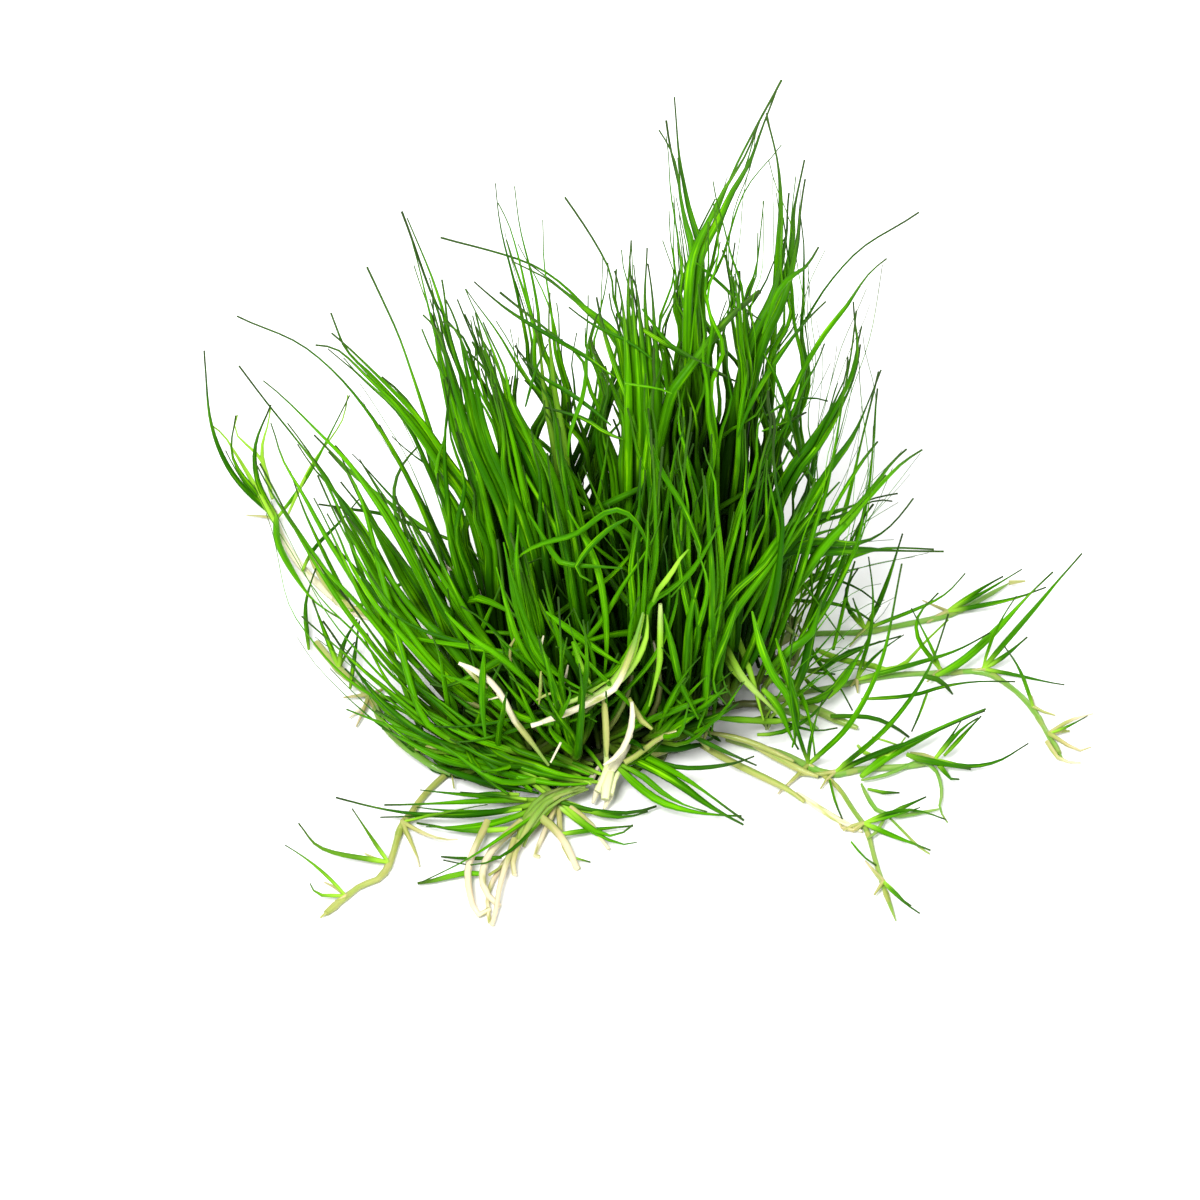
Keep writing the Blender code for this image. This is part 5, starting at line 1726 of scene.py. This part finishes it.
CRUMPLED_CROWN = (
    lies(SHEATH, (1.6, 3), (0.4, -8), (0.6, -6.6), (1.4, -4.6)),
    lies(WHITE_STEM.of(0.4), (2.2, 4.2), (0.2, -6.4), (1.6, -4.6), (2.6, -2.6)),
    lies(SHEATH, (1.6, 3.4), (-0.2, -7.4), (0.6, -5.8), (0.4, -3.6)),
    lies(SHEATH.of(0.3), (1.6, 2.6), (0.9, -7.6), (1.2, -6.2), (2.4, -4.8)),
    lies(WHITE_STEM.of(0.3), (1.8, 0.6), (0.4, -5.6), (-0.2, -7.2), (-0.6, -8.3)),
    lies(WHITE_STEM.of(0.3), (1.8, 0.6), (1, -5.8), (1, -7.4), (0.4, -8.8)),
    lies(WHITE_STEM.of(0.26), (2.2, 1.2), (0, -5.2), (-0.8, -6.4), (-1.6, -7)),
    lies(YOUNG, (2.4, 3), (0.2, -6), (-3, -4.8), (-6.6, -4.2)),
    lies(YOUNG, (2.4, 4), (0.4, -5.8), (-1.6, -3.4), (-4.6, -2.2)),
    lies(YOUNG, (2.4, 4), (0.6, -5.6), (3.6, -4.6), (5.2, -3)),
)

CREST_BLADES = (
    stands(CROSS, (6, 13), (1.2, 26.5), (-1, 28.1), (-2.8, 29.2), (-4.6, 30.3), (-7.7, 32.3), (-10.3, 34.5)),
    stands(CROSS, (4, 10), (0.9, 22.6), (-0.6, 23.9), (-2.4, 25.2), (-4.2, 26.3), (-5.3, 27), (-7.1, 29.2)),
    stands(CROSS.of(0.13), (5, 9), (-6.1, 24.1), (-5.3, 27), (-4.3, 29.3)),
    stands(CROSS, (3, 6), (1.9, 21.4), (0.3, 22.1), (-1, 23), (-2.8, 23.6), (-4.5, 24.1)),
    stands(replace(CROSS, tint=(0.6, 1)), (2, 10), (-2.6, 20), (-2.4, 22.1), (-1.3, 25.4), (-1, 29),
        (-0.2, 31.7)),
    stands(CROSS.of(0.26), (3, 11), (3, 22), (2.3, 24.5), (1.2, 27.4), (0.3, 30.1), (-0.3, 33)),
    stands(CROSS.of(0.14, dark_from=0.2), (5, 3), (3.4, 31.9), (5.7, 29), (7.7, 27.9), (10.1, 26.5)),
    stands(CROSS.of(0.14, dark_from=0.2), (9, 6), (7.8, 35.7), (10.1, 33.7), (11.5, 32.1), (13, 31)),
    stands(CROSS.of(0.24), (6, 10), (13.2, 30), (14.6, 33.7), (15.6, 34.6), (16.8, 35.5), (17.7, 37)),
    stands(CROSS.of(0.22), (2, 8), (11.2, 21.6), (12.3, 24.3), (14.1, 27.4), (16.4, 30.6), (18.3, 32.6)),
    stands(CROSS, (2, 8), (13.2, 19), (14.1, 21.6), (15, 24.3), (16.8, 27.2), (18.3, 30.1)),
    stands(CROSS.of(0.13, dark_from=0.2), (3, 5), (13.2, 22.1), (15.5, 23), (16.8, 23.6)),
    stands(CROSS.of(0.15), (5, 9), (4.4, 27.8), (2.2, 29.4), (-0.4, 30.6), (-2.6, 32.2)),
    *side_by_side(stands(CREST, (4, 17), (7.6, 5), (8.2, 20), (8.3, 27), (8, 33.2), (7.7, 37.3), (7, 39.9),
        (6.3, 44), (5.4, 47.4)), 2, 0.5),
    *side_by_side(stands(CREST.of(0.42), (4, 18), (6.6, 5), (7.2, 20), (7.4, 29), (7.7, 34.8), (8.3, 37.2),
        (9.5, 39.5), (10.5, 41.7), (12.1, 44.4), (13.5, 48)), 2, 0.6),
    stands(CREST.of(0.28), (7, 20), (12.4, 6), (14, 24), (14.2, 30), (14.6, 37), (14.8, 40.8), (14.6, 44.4),
        (13.7, 47.6)),
    *side_by_side(stands(CREST.of(0.42), (3, 15), (9.4, 4.6), (11, 20), (11.8, 25.5), (12.8, 29.5),
        (14.1, 32.1), (15, 34.4), (15.7, 37.7), (15.8, 39.9), (16.2, 42.4)), 3, 1),
    stands(CREST.of(0.44, hair_from=1.2), (1.5, 7.5), (2.4, 3.4), (3.6, 15), (5.6, 24.4), (6.8, 26.6),
        (7.9, 28.1), (10.1, 30.8), (13, 33.5)),
    stands(DARK, (7, 5), (3.4, 30.4), (4.6, 29.6), (6, 28.8), (9.4, 26.9), (11.5, 26)),
    stands(CREST.of(0.34), (7, 18), (3, 6), (2.6, 20), (1.7, 29), (1, 30.6), (-0.6, 31.9), (-2.4, 33.2),
        (-4.4, 34.8), (-7.2, 36.3)),
    *side_by_side(stands(CREST.of(0.26, body_pale=0.25), (4, 15), (-1.6, 4.6), (-3, 18), (-3.5, 22.1),
        (-4.2, 25.7), (-4.6, 29.9), (-5, 32)), 2, 0.9),
    *side_by_side(stands(CREST, (1, 11), (3.4, 3), (3.6, 20), (3.3, 28), (2.9, 33), (2.7, 36)), 6, 2.4),
    *side_by_side(stands(WET, (-2, 7), (-3.6, 2), (-7, 14.5), (-9.5, 20.6), (-10.7, 24.9), (-12, 30),
        (-13.2, 32.4)), 4, 1.6),
    *side_by_side(stands(WET, (-1, 8), (-1.4, 3), (-4, 17), (-6.9, 23.1), (-9.2, 27.5), (-10.8, 30)), 3, 1.2),
)

UPPER_RIGHT = (
    stands(CREST.of(0.22), (3, 10), (14, 17), (15, 22.4), (15.9, 25.6), (17, 27.8), (18.5, 30.2),
        (20.6, 32.9), (21.5, 34.4), (23.3, 36)),
    stands(CROSS.of(0.13), (3, 7), (15, 21.6), (16.4, 25.4), (17.6, 27.4), (18.4, 29.3)),
    stands(CROSS.of(0.12), (4, 6), (13.6, 23.4), (15.1, 24.4), (16.3, 24.8), (17.6, 24.9), (18.6, 24.7)),
    stands(CROSS.of(0.12), (4, 6), (14.2, 22), (15.5, 22.9), (16.9, 23.6)),
    *side_by_side(stands(FLANK_LOCK.of(0.36, dark_from=0.68), (0.5, 7), (13.2, 10), (14, 15), (15.9, 19),
        (17.4, 20.9), (18.9, 23.3), (19.8, 25.2), (20.5, 26.9), (20.8, 29)), 3, 0.8),
    stands(CROSS, (3, 8), (17.4, 20.4), (19.4, 24.4), (20.5, 26.6), (21, 28.6), (20.8, 30.3), (20.6, 32.7)),
    stands(FLANK_LOCK.of(0.3), (0, 6), (14.6, 9), (16.4, 15.2), (18.9, 19.2), (20.6, 21.6), (21.9, 24.5),
        (22.9, 27.1)),
    stands(CROSS.of(0.15), (5, 2), (13.3, 28.4), (14.6, 25.8), (15.5, 22.8), (16.2, 20)),
    stands(THIN, (0, 3), (18.6, 15), (21.1, 19.2), (22.1, 20.5), (22.7, 21.3)),
    stands(THIN, (0, 3), (19.6, 14.6), (22.2, 17.4), (23.9, 19.6), (25.1, 20.7)),
    stands(THIN, (0, 3), (20.2, 14.6), (22.6, 17.4), (24.5, 19.4), (26.3, 20.6)),
)

UPPER_LEFT = side_by_side(stands(FAN.of(0.32, foot=0.4, foot_to=0.3, sway=0.4, dark_from=0.78), (1, 6),
    (-7.4, 3.4), (-8.2, 6), (-8.9, 9.4), (-9.8, 13.9), (-10.9, 17), (-12.8, 19.6), (-15.1, 22.9),
    (-18.4, 26.4), (-20.7, 28.6), (-22.4, 29.9)), 3, 0.9)

NET_BLADES = (
    lies(BRIGHT.of(0.38, tint=(0, 0.2), dark_from=0.7), (3.4, 17), (15.7, 0.1), (16.9, 2.8), (17.9, 7.1),
        (19.6, 10.4), (20.8, 13.1), (21.6, 14.8), (22.5, 16.2)),
    stands(FLANK_LOCK, (-2, 3), (12, 5), (14.2, 11.4), (16.9, 14.7), (17.9, 15.2), (19.6, 15.7), (21.3, 16.3),
        (22.9, 16.8), (24.4, 17.1)),
    stands(FLANK_LOCK.of(0.26), (-1.6, 3), (12.6, 5), (14.9, 11.6), (17.4, 14.4), (19.8, 15.2), (22.4, 16.4),
        (24, 16.4)),
    stands(FLANK_LOCK.of(0.4), (-2, 3), (11.6, 4), (12.6, 9.6), (14.8, 12.1), (17.2, 12.5), (19.6, 12.3),
        (21.5, 12.5), (24.4, 12.4), (28.4, 12.4)),
    stands(FLANK_LOCK, (-1.4, 3), (12.2, 4), (13.8, 10), (15.7, 12.4), (17.9, 13.2), (20.1, 12.9), (22, 13.2),
        (23.4, 14), (24.6, 15.2), (25.7, 16.7)),
    stands(THICK.of(0.42), (-1, 3), (15.4, 8), (17.4, 11.4), (19.1, 13.5), (20.3, 14.7), (21.3, 15.9),
        (22, 17), (23.4, 18.6)),
    stands(THICK, (-4, 1), (10.8, 7), (13.1, 11.1), (15, 13.8), (16.9, 15.8), (18.4, 18.3), (19.2, 20.6)),
    stands(THICK.of(0.3), (-3.6, 1), (11.6, 6.4), (14, 10.8), (15.8, 13.6), (17.8, 16), (19.6, 18)),
    lies(replace(THIN, dark=0.4), (12, 8), (17.7, 12.8), (17.5, 11.1), (17.7, 8.8)),
    lies(replace(NET, tint=(0, 0.2)), (5, 3), (13.1, 10), (15.5, 10.2), (18.1, 10.4), (20.8, 9.7),
        (22.5, 8.8), (23.6, 7.8)),
    lies(NET, (1.6, 2.2), (17.9, 3.5), (19.1, 3.2), (21.3, 4), (22.7, 4.7), (23.4, 4.9)),
    lies(BRIGHT.of(0.3), (1.4, 3), (18.9, 0.2), (19.6, 0.7), (20.5, 2), (21.5, 3.5), (22.5, 5.2)),
    lies(NET.of(0.17), (1.4, 1.8), (21.7, 0.1), (24.8, 0.3), (27.2, 0.7), (28.4, 1.1), (31.1, 1.5),
        (34.6, 1.5)),
    lies(THIN.of(0.12), (1.4, 1.4), (27.2, 0.6), (26.5, -1.1), (25.8, -2.5)),
    lies(DARK.of(0.24), (1.8, 1.6), (27, 2), (28.4, 1.6), (29.3, 0.5)),
    lies(LIME, (0.9, 1.6), (21.3, -3.7), (22, -4.4), (23.4, -4.7), (24.4, -4.2), (25.3, -3.2)),
    lies(LIME.of(0.12), (1, 1.2), (22.5, -3), (23.6, -3.3), (24.6, -3.6)),
    lies(NET, (1, 2), (28.4, -4.5), (29.9, -3), (31.6, -1.3)),
    lies(NET.of(0.3, dark_from=0.8), (1.2, 0.8), (25.3, -4.4), (26.8, -4.9), (28.2, -5.1), (29.4, -5.4),
        (30.6, -5.6)),
    lies(THIN.of(0.12), (0.8, 0.7), (18.9, -6.5), (19.3, -8.3), (19.8, -9.6)),
    lies(THIN.of(0.1), (0.6, 0.5), (20.5, -11.4), (21.5, -12.6), (22.5, -13.3)),
    lies(NET.of(0.15), (1.8, 1.6), (16.8, 2.4), (17.8, 2.3), (19.6, 2.2)),
    lies(NET, (1.8, 1.4), (16.9, 2), (17.9, 0.9), (19.4, 0.4)),
    lies(THIN, (4.4, 2), (14.8, 8.3), (16.9, 8.3), (19.1, 8), (20.8, 7.8), (22.9, 6.4)),
    lies(THIN, (1.6, 4.4), (19.5, 4.2), (20.1, 6.4), (20.5, 8), (21, 10), (21.5, 11.6)),
    lies(LIME.of(0.26, body_pale=0.3), (1.2, 1.4), (18.1, 4.2), (20.3, 3.3), (22, 3.1), (23.9, 2.5),
        (25.3, 3), (27.2, 4.9), (29.2, 6.6)),
    lies(replace(NET, tint=(0, 0.3)), (1.8, 1.2), (16.7, 2.5), (18.6, 2.6), (20.5, 3.9), (22.9, 4.7),
        (25.3, 5.4)),
    lies(THICK, (1.4, 1.6), (16, -0.3), (18.6, 0.2), (20, 1.6), (21, 2.8), (22, 4)),
    lies(THIN.of(0.2), (1.6, 0.8), (19.1, -1.3), (21.5, -1.3), (23.4, -1.6), (24.6, -2.3), (25.6, -3)),
    lies(BRIGHT.of(0.36), (0.8, 1.8), (21.5, -6.2), (23.2, -4.9), (25.3, -3.7), (27.7, -2.5), (29.6, -1.6),
        (32, -0.7)),
    lies(GREEN_STEM.of(0.16), (0.6, 0.4), (21.5, -6.5), (23.4, -6.1), (24.8, -5.6), (26.6, -4.9),
        (27.7, -5.9), (28, -7.5), (27.8, -8.8), (28.4, -9.9)),
    lies(GREEN_STEM.of(0.2), (0.6, 0.4), (21.5, -6.8), (22.2, -8.2), (23.2, -9.2), (24.6, -9.3), (26.8, -9),
        (27.8, -8.8)),
    lies(GREEN_STEM.of(0.12, body_pale=0.6), (0.5, 0.4), (23.6, -9.4), (25.3, -11.2), (26, -11.9),
        (26.8, -12.4)),
    lies(GREEN_STEM.of(0.16), (0.5, 0.5), (23.4, -9.4), (22.5, -10.8), (21.9, -11.2)),
    lies(HAIR_ROOT.of(0.2), (0.8, 0.8), (34.6, 9.8), (35.2, 10), (35.9, 10)),
    lies(BRIGHT.of(0.34, dark_from=0.6), (1, 2.6), (28, 2), (30.2, 3.2), (33.2, 5.8), (36.2, 8.8),
        (38.2, 10.6)),
    lies(GREEN_STEM.of(0.4, body_pale=0.55), (1, 0.6), (15, 0.2), (17.6, -0.6), (19.5, -1.4), (21.4, -2.2)),
    lies(NET, (0.6, 0.9), (23.6, -9.2), (25, -8.6), (26.8, -7.8)),
    lies(NET, (0.6, 0.6), (22, -7.2), (23.4, -7.5), (24.6, -7.5)),
    stands(BRIGHT, (-6, -7), (13.4, 1), (14.8, -0.6), (15.6, -2.6), (16.4, -4)),
    lies(BRIGHT, (5, 1), (12.6, 5.8), (14.6, 3), (16.8, 0.2), (17.6, -3.2), (17.8, -4.8)),
    lies(NET, (2.6, 1), (16.6, 6.2), (18.2, 3.2), (19.8, 1.4), (21, -0.8)),
    lies(YOUNG, (1.6, 2.6), (13, -2.8), (15, -2.6), (17.4, -1.4), (19.2, 0.8)),
    lies(YOUNG, (1.8, 1.6), (12.2, -1.6), (14.4, -1.4), (17, -2.4), (19.6, -2.2)),
    stands(replace(THICK, tint=(0.6, 1)), (-7, -8), (12.4, 7.4), (13.2, 4.4), (14.4, 1.8), (15.6, 0),
        (16.1, -3.4)),
    stands(THICK, (-6, -4), (13.6, 2.2), (15.4, 4.2), (17.2, 5.4), (18.2, 8.4)),
    stands(CURVED, (-6, -8), (14.4, 5.2), (15.4, 2), (16.3, -1.2), (15.9, -3.8)),
    stands(CURVED, (-7, -8), (11.2, 8.2), (10.4, 5.6), (9.4, 3), (9.2, 1)),
    lies(THICK, (7, 11), (13.4, 9), (14.6, 11.6), (16.6, 13.4), (19, 15.8)),
    lies(HAIR_ROOT.of(0.2), (0.5, 0.4), (37, -3.4), (38, -4.8), (39.7, -5.1)),
)

LEFT_NET = (
    lies(LIME.of(0.24), (1.2, 6), (-27.4, 14.4), (-28.9, 17), (-30.4, 19.6), (-32.2, 22.4), (-33.2, 23.2)),
    lies(LIME, (1.6, 4), (-28, 17), (-28.9, 20), (-29.8, 21.3), (-31.2, 22.3), (-31.3, 23), (-31.1, 24.3)),
    lies(LIME, (1.6, 4), (-28.2, 17.6), (-29, 20.6), (-29.1, 21.1), (-28.5, 23.1), (-28.2, 24.9)),
    lies(LIME.of(0.15), (3, 9), (-26.6, 15.4), (-24.8, 19.6), (-23.2, 22), (-22, 23.6), (-21.4, 25.8)),
    lies(replace(THIN, dark=0.9, dark_from=0), (4, 10), (-16.6, 12.8), (-17.4, 16.4), (-17.1, 19.2),
        (-15.4, 21.4)),
    lies(replace(THIN, dark_from=0.3), (6, 9), (-12.6, 13.4), (-17.8, 15.4), (-20.6, 15.9), (-23.6, 16.4)),
    lies(THIN, (8, 14), (-13.6, 13.6), (-17, 16), (-20.4, 18.6), (-22.6, 20.8), (-24, 22.2)),
    lies(BRIGHT.of(0.3), (1.6, 1.4), (-27.6, 15.6), (-27.2, 12.8), (-24.4, 8.6), (-21.8, 6.8)),
    lies(YOUNG, (1, 3), (-25.2, 10.8), (-24.2, 12.8), (-22, 15), (-20.4, 17)),
    lies(NET, (1, 2), (-21, 7.4), (-17, 9.6), (-13, 10.6)),
    lies(NET, (1, 2), (-20.8, 1), (-20.4, 4.6), (-20.2, 6.6)),
    lies(NET, (0.8, 1.6), (-24.4, 4.2), (-24.8, 8), (-24, 11)),
    lies(BRIGHT, (1.6, 1.6), (-11.4, -5.2), (-14.6, -3.4), (-18, -0.6), (-21.2, 2.6)),
    lies(WHITE_STEM.of(0.16), (0.5, 0.3), (-19.4, -0.4), (-20, -0.9), (-20.8, -1.5)),
)

RUNNERS = (
    Runner("runner_left",
           ((-9, 2.8), (-11.5, 3.6), (-14.8, 4.9), (-17.9, 6.2), (-21.2, 7.3), (-24.8, 10.3), (-26.8, 12.9),
            (-28, 15.4)),
           ((-21, 7.3), (-27.6, 14.8)), 0.32, WHITE_STEM),
    Runner("runner_left_low",
           ((-23.8, 4.4), (-21.9, 2.3), (-19.2, 0), (-17.9, -2.4), (-15.6, -4.4), (-14.2, -4.7)),
           ((-21.8, 2.2), (-19.2, 0)), 0.33, replace(CREAM_STEM, body_pale=0.45)),
    Runner("runner_front_left",
           ((-9, -4.8), (-10.5, -5.3), (-12.2, -6), (-13.5, -7), (-14.8, -8.4), (-15.8, -9.9),
            (-16.3, -10.5), (-16.9, -12.7), (-17.3, -13.7), (-18, -14.6), (-19.4, -15.1), (-20.6, -16),
            (-22.6, -17.6)),
           ((-16.2, -10.3), (-17.2, -13.5), (-20.6, -16.1)), 0.28,
           replace(WHITE_STEM, sheath_pale=0.76, body_pale=0.76, tint=(0.2, 0.6)),
           leaf=replace(YOUNG, body_pale=0.16)),
    Runner("runner_right_upper",
           ((17, 5.2), (19.2, 5.3), (22.3, 5.4), (25.5, 6), (29.5, 6.9), (33, 8.6), (34.6, 9.5)),
           ((22.3, 5.4), (29.3, 6.9)), 0.26, GREEN_STEM),
    Runner("runner_right_middle",
           ((16.6, 0.4), (19.2, 0.8), (22.5, 1.5), (25.2, 1.9), (28.5, 2), (32, 2.1), (34.3, 0.8),
            (36, -1), (37.2, -3.2), (38.2, -5)),
           ((21.4, 1.2), (28.5, 2), (32, 2.1), (36, -1), (37.2, -3.2)), 0.24, GREEN_STEM),
    Runner("runner_right_lower",
           ((10.5, -3.4), (12.5, -4), (15.2, -4.7), (17.6, -5.9), (19.2, -6.3), (21.6, -5.9), (25, -5.7),
            (27.9, -5.3)),
           ((17.2, -5.7), (19.4, -6.3), (27.6, -5.3)), 0.30, GREEN_STEM),
    Runner("runner_right_front",
           ((18.4, -6.3), (19.6, -7.3), (20.7, -9), (21.8, -10.7), (22.4, -13), (23.1, -15.4),
            (23.9, -17.8)),
           ((21.6, -10.4), (23, -15)), 0.21, replace(CREAM_STEM, body_pale=0.5)),
)


FAMILIES = {
    "left_lock": {"habit": WET, "followers": 1.0, "between": 2, "strays": 0, "crossers": 1,
                  "beside": 0.45, "wander": 0.6},
    "left_fan": {"habit": FAN, "fine": 0.85, "followers": 0.4, "between": 1, "strays": 0, "crossers": 1,
                 "shorts": 2, "beside": 0.4, "wander": 0.7, "stray_reach": 3.0},
    "right_fan": {"habit": FLANK, "fine": 0.9, "followers": 0.3, "between": 0, "strays": 0,
                  "crossers": 1, "shorts": 2, "wander": 1.5, "stray_reach": 4.0},
    "front_tuft": {"followers": 0.6, "between": 4, "strays": 4, "shorts": 6, "wander": 2.6,
                   "stray_reach": 5.0},
    "crest_tuft": {"fine": 0.95, "followers": 1.0, "between": 2, "strays": 1, "crossers": 5, "shorts": 3,
                   "beside": 0.35, "wander": 1.0, "stray_reach": 4.0},
}


def locks() -> list[Tuft]:
    """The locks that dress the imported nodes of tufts, each with the fullness of its family."""
    return [Tuft(node, **fullness) for node in sorted(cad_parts) for family, fullness in FAMILIES.items()
            if node.startswith(family)]


@dataclass
class Studio:
    """The camera, the floor and the soft lights.

    Attributes:
        distance: From the camera to the point that it looks at.
        aim_up: How far that point is from the origin, up the leaning plane.
        lens: The camera's lens.
        sensor: How wide its sensor is.
        farthest: How far it sees, in metres.
        floor_size: The side of the floor.
        floor_drop: How far the floor lies under the table's plane, so that the two don't meet.
        floor_colour: Its colour.
        daylight: How bright the even daylight is.
        lamps: The name, place, side and watts of each lamp: from the upper left, the right and behind.
    """

    distance: float = 700.0
    aim_up: float = 100 / 12  # 100 pixels of the frame, at 12 to a millimetre
    lens: float = 252.0
    sensor: float = 36.0
    farthest: float = 10.0
    floor_size: float = 3000.0
    floor_drop: float = 0.02
    floor_colour: tuple = (0.86, 0.86, 0.85, 1)
    daylight: float = 0.62
    lamps: tuple = (("key", (-160, -330, 470), 260, 6.0), ("fill", (380, -160, 300), 300, 1.0),
                    ("rim", (60, 420, 320), 300, 1.0))

    def camera(self) -> None:
        """Looks down on the clump from the front, across the leaning plane."""
        aim = np.array([0, math.sin(VIEW_TILT), math.cos(VIEW_TILT)]) * self.aim_up
        away = np.array([0, -math.cos(VIEW_TILT), math.sin(VIEW_TILT)]) * self.distance
        data = bpy.data.cameras.new("camera")
        data.sensor_width = self.sensor
        data.lens = self.lens
        data.clip_end = self.farthest
        made = bpy.data.objects.new("camera", data)
        made.location = (aim + away) * MM
        made.rotation_euler = (math.pi / 2 - VIEW_TILT, 0, 0)
        bpy.context.scene.collection.objects.link(made)
        bpy.context.scene.camera = made

    def floor(self) -> None:
        """A plain pale floor."""
        half = self.floor_size / 2 * MM
        mesh = bpy.data.meshes.new("floor")
        corners = [(-half, -half, 0), (half, -half, 0), (half, half, 0), (-half, half, 0)]
        mesh.from_pydata(corners, [], [(0, 1, 2, 3)])
        made = bpy.data.objects.new("floor", mesh)
        made.location.z = -self.floor_drop * MM
        bpy.context.scene.collection.objects.link(made)
        shader = Shader("pale_floor", Roughness=0.7, Specular_IOR_Level=0.2)
        shader.surface.inputs["Base Color"].default_value = self.floor_colour
        mesh.materials.append(shader.material)

    def lamp(self, name: str, place: tuple[float, float, float], size: float, power: float) -> None:
        """A square soft light that faces the middle of the clump.

        Args:
            name: Its name.
            place: Where it hangs.
            size: Its side.
            power: Its power in watts.
        """
        data = bpy.data.lights.new(name, "AREA")
        data.size = size * MM
        data.energy = power
        made = bpy.data.objects.new(name, data)
        spot = np.array(place, float)
        made.location = spot * MM
        made.rotation_euler = Vector(np.array([0, 0, 15.0]) - spot).to_track_quat("-Z", "Y").to_euler()
        bpy.context.scene.collection.objects.link(made)

    def light(self) -> None:
        """Even daylight and the lamps."""
        world = bpy.data.worlds.new("daylight")
        world.use_nodes = True
        background = world.node_tree.nodes["Background"]
        background.inputs["Color"].default_value = (1.0, 1.0, 1.0, 1)
        background.inputs["Strength"].default_value = self.daylight
        bpy.context.scene.world = world
        bpy.context.scene.view_settings.view_transform = "Standard"
        for lamp in self.lamps:
            self.lamp(*lamp)

    def build(self) -> None:
        """Builds all of it."""
        self.camera()
        self.floor()
        self.light()


def main() -> None:
    """Grows every part of the clump, measures the shade that is painted into its colours, then makes the
    pieces.
    """
    logging.basicConfig(level=logging.INFO, format="%(message)s")
    rng = np.random.default_rng(SEED)
    Studio().build()
    tufts = locks()
    for one in tufts:
        one.cross(tufts, rng)
    parts = [
        *tufts, *RUNNERS, FrontPlantlet("front_plantlet"), LooseShoots("front_blades", FRONT_BLADES),
        LooseShoots("pale_stems", PALE_STEMS, "runner"), LooseShoots("crumpled_crown", CRUMPLED_CROWN),
        LooseShoots("crest_locks", CREST_BLADES), Skirt("skirt_blades"), LooseShoots("right_net", NET_BLADES),
        LooseShoots("left_net", (*LEFT_NET, *UPPER_LEFT)), LooseShoots("flank_blades", UPPER_RIGHT),
    ]
    strands = [strand for part in parts for strand in part.grow(rng)]
    mat = RootMat("root_mat", [one.crown for one in tufts])
    parts.append(mat)
    strands += mat.grow(rng)
    PaintedShade.measure(strands)
    finishes = {
        Kind.BLADE: BladeFinish().material(),
        Kind.STEM: StemFinish().material(),
        # the white roots get more of the painted warm bounce light
        Kind.ROOT: StemFinish("white_root", white=linear(166, 166, 100), bright=linear(220, 210, 184),
                              painted_bounce_share=0.4).material(),
    }
    tubes = Tubes(finishes)
    pieces = [part.dress(tubes) for part in parts]
    total = sum(len(face.vertices) - 2 for piece in pieces for face in piece.data.polygons)
    log.info("%d strands in %d pieces, %d triangles", len(strands), len(pieces), total)


if __name__ == "__main__":
    main()
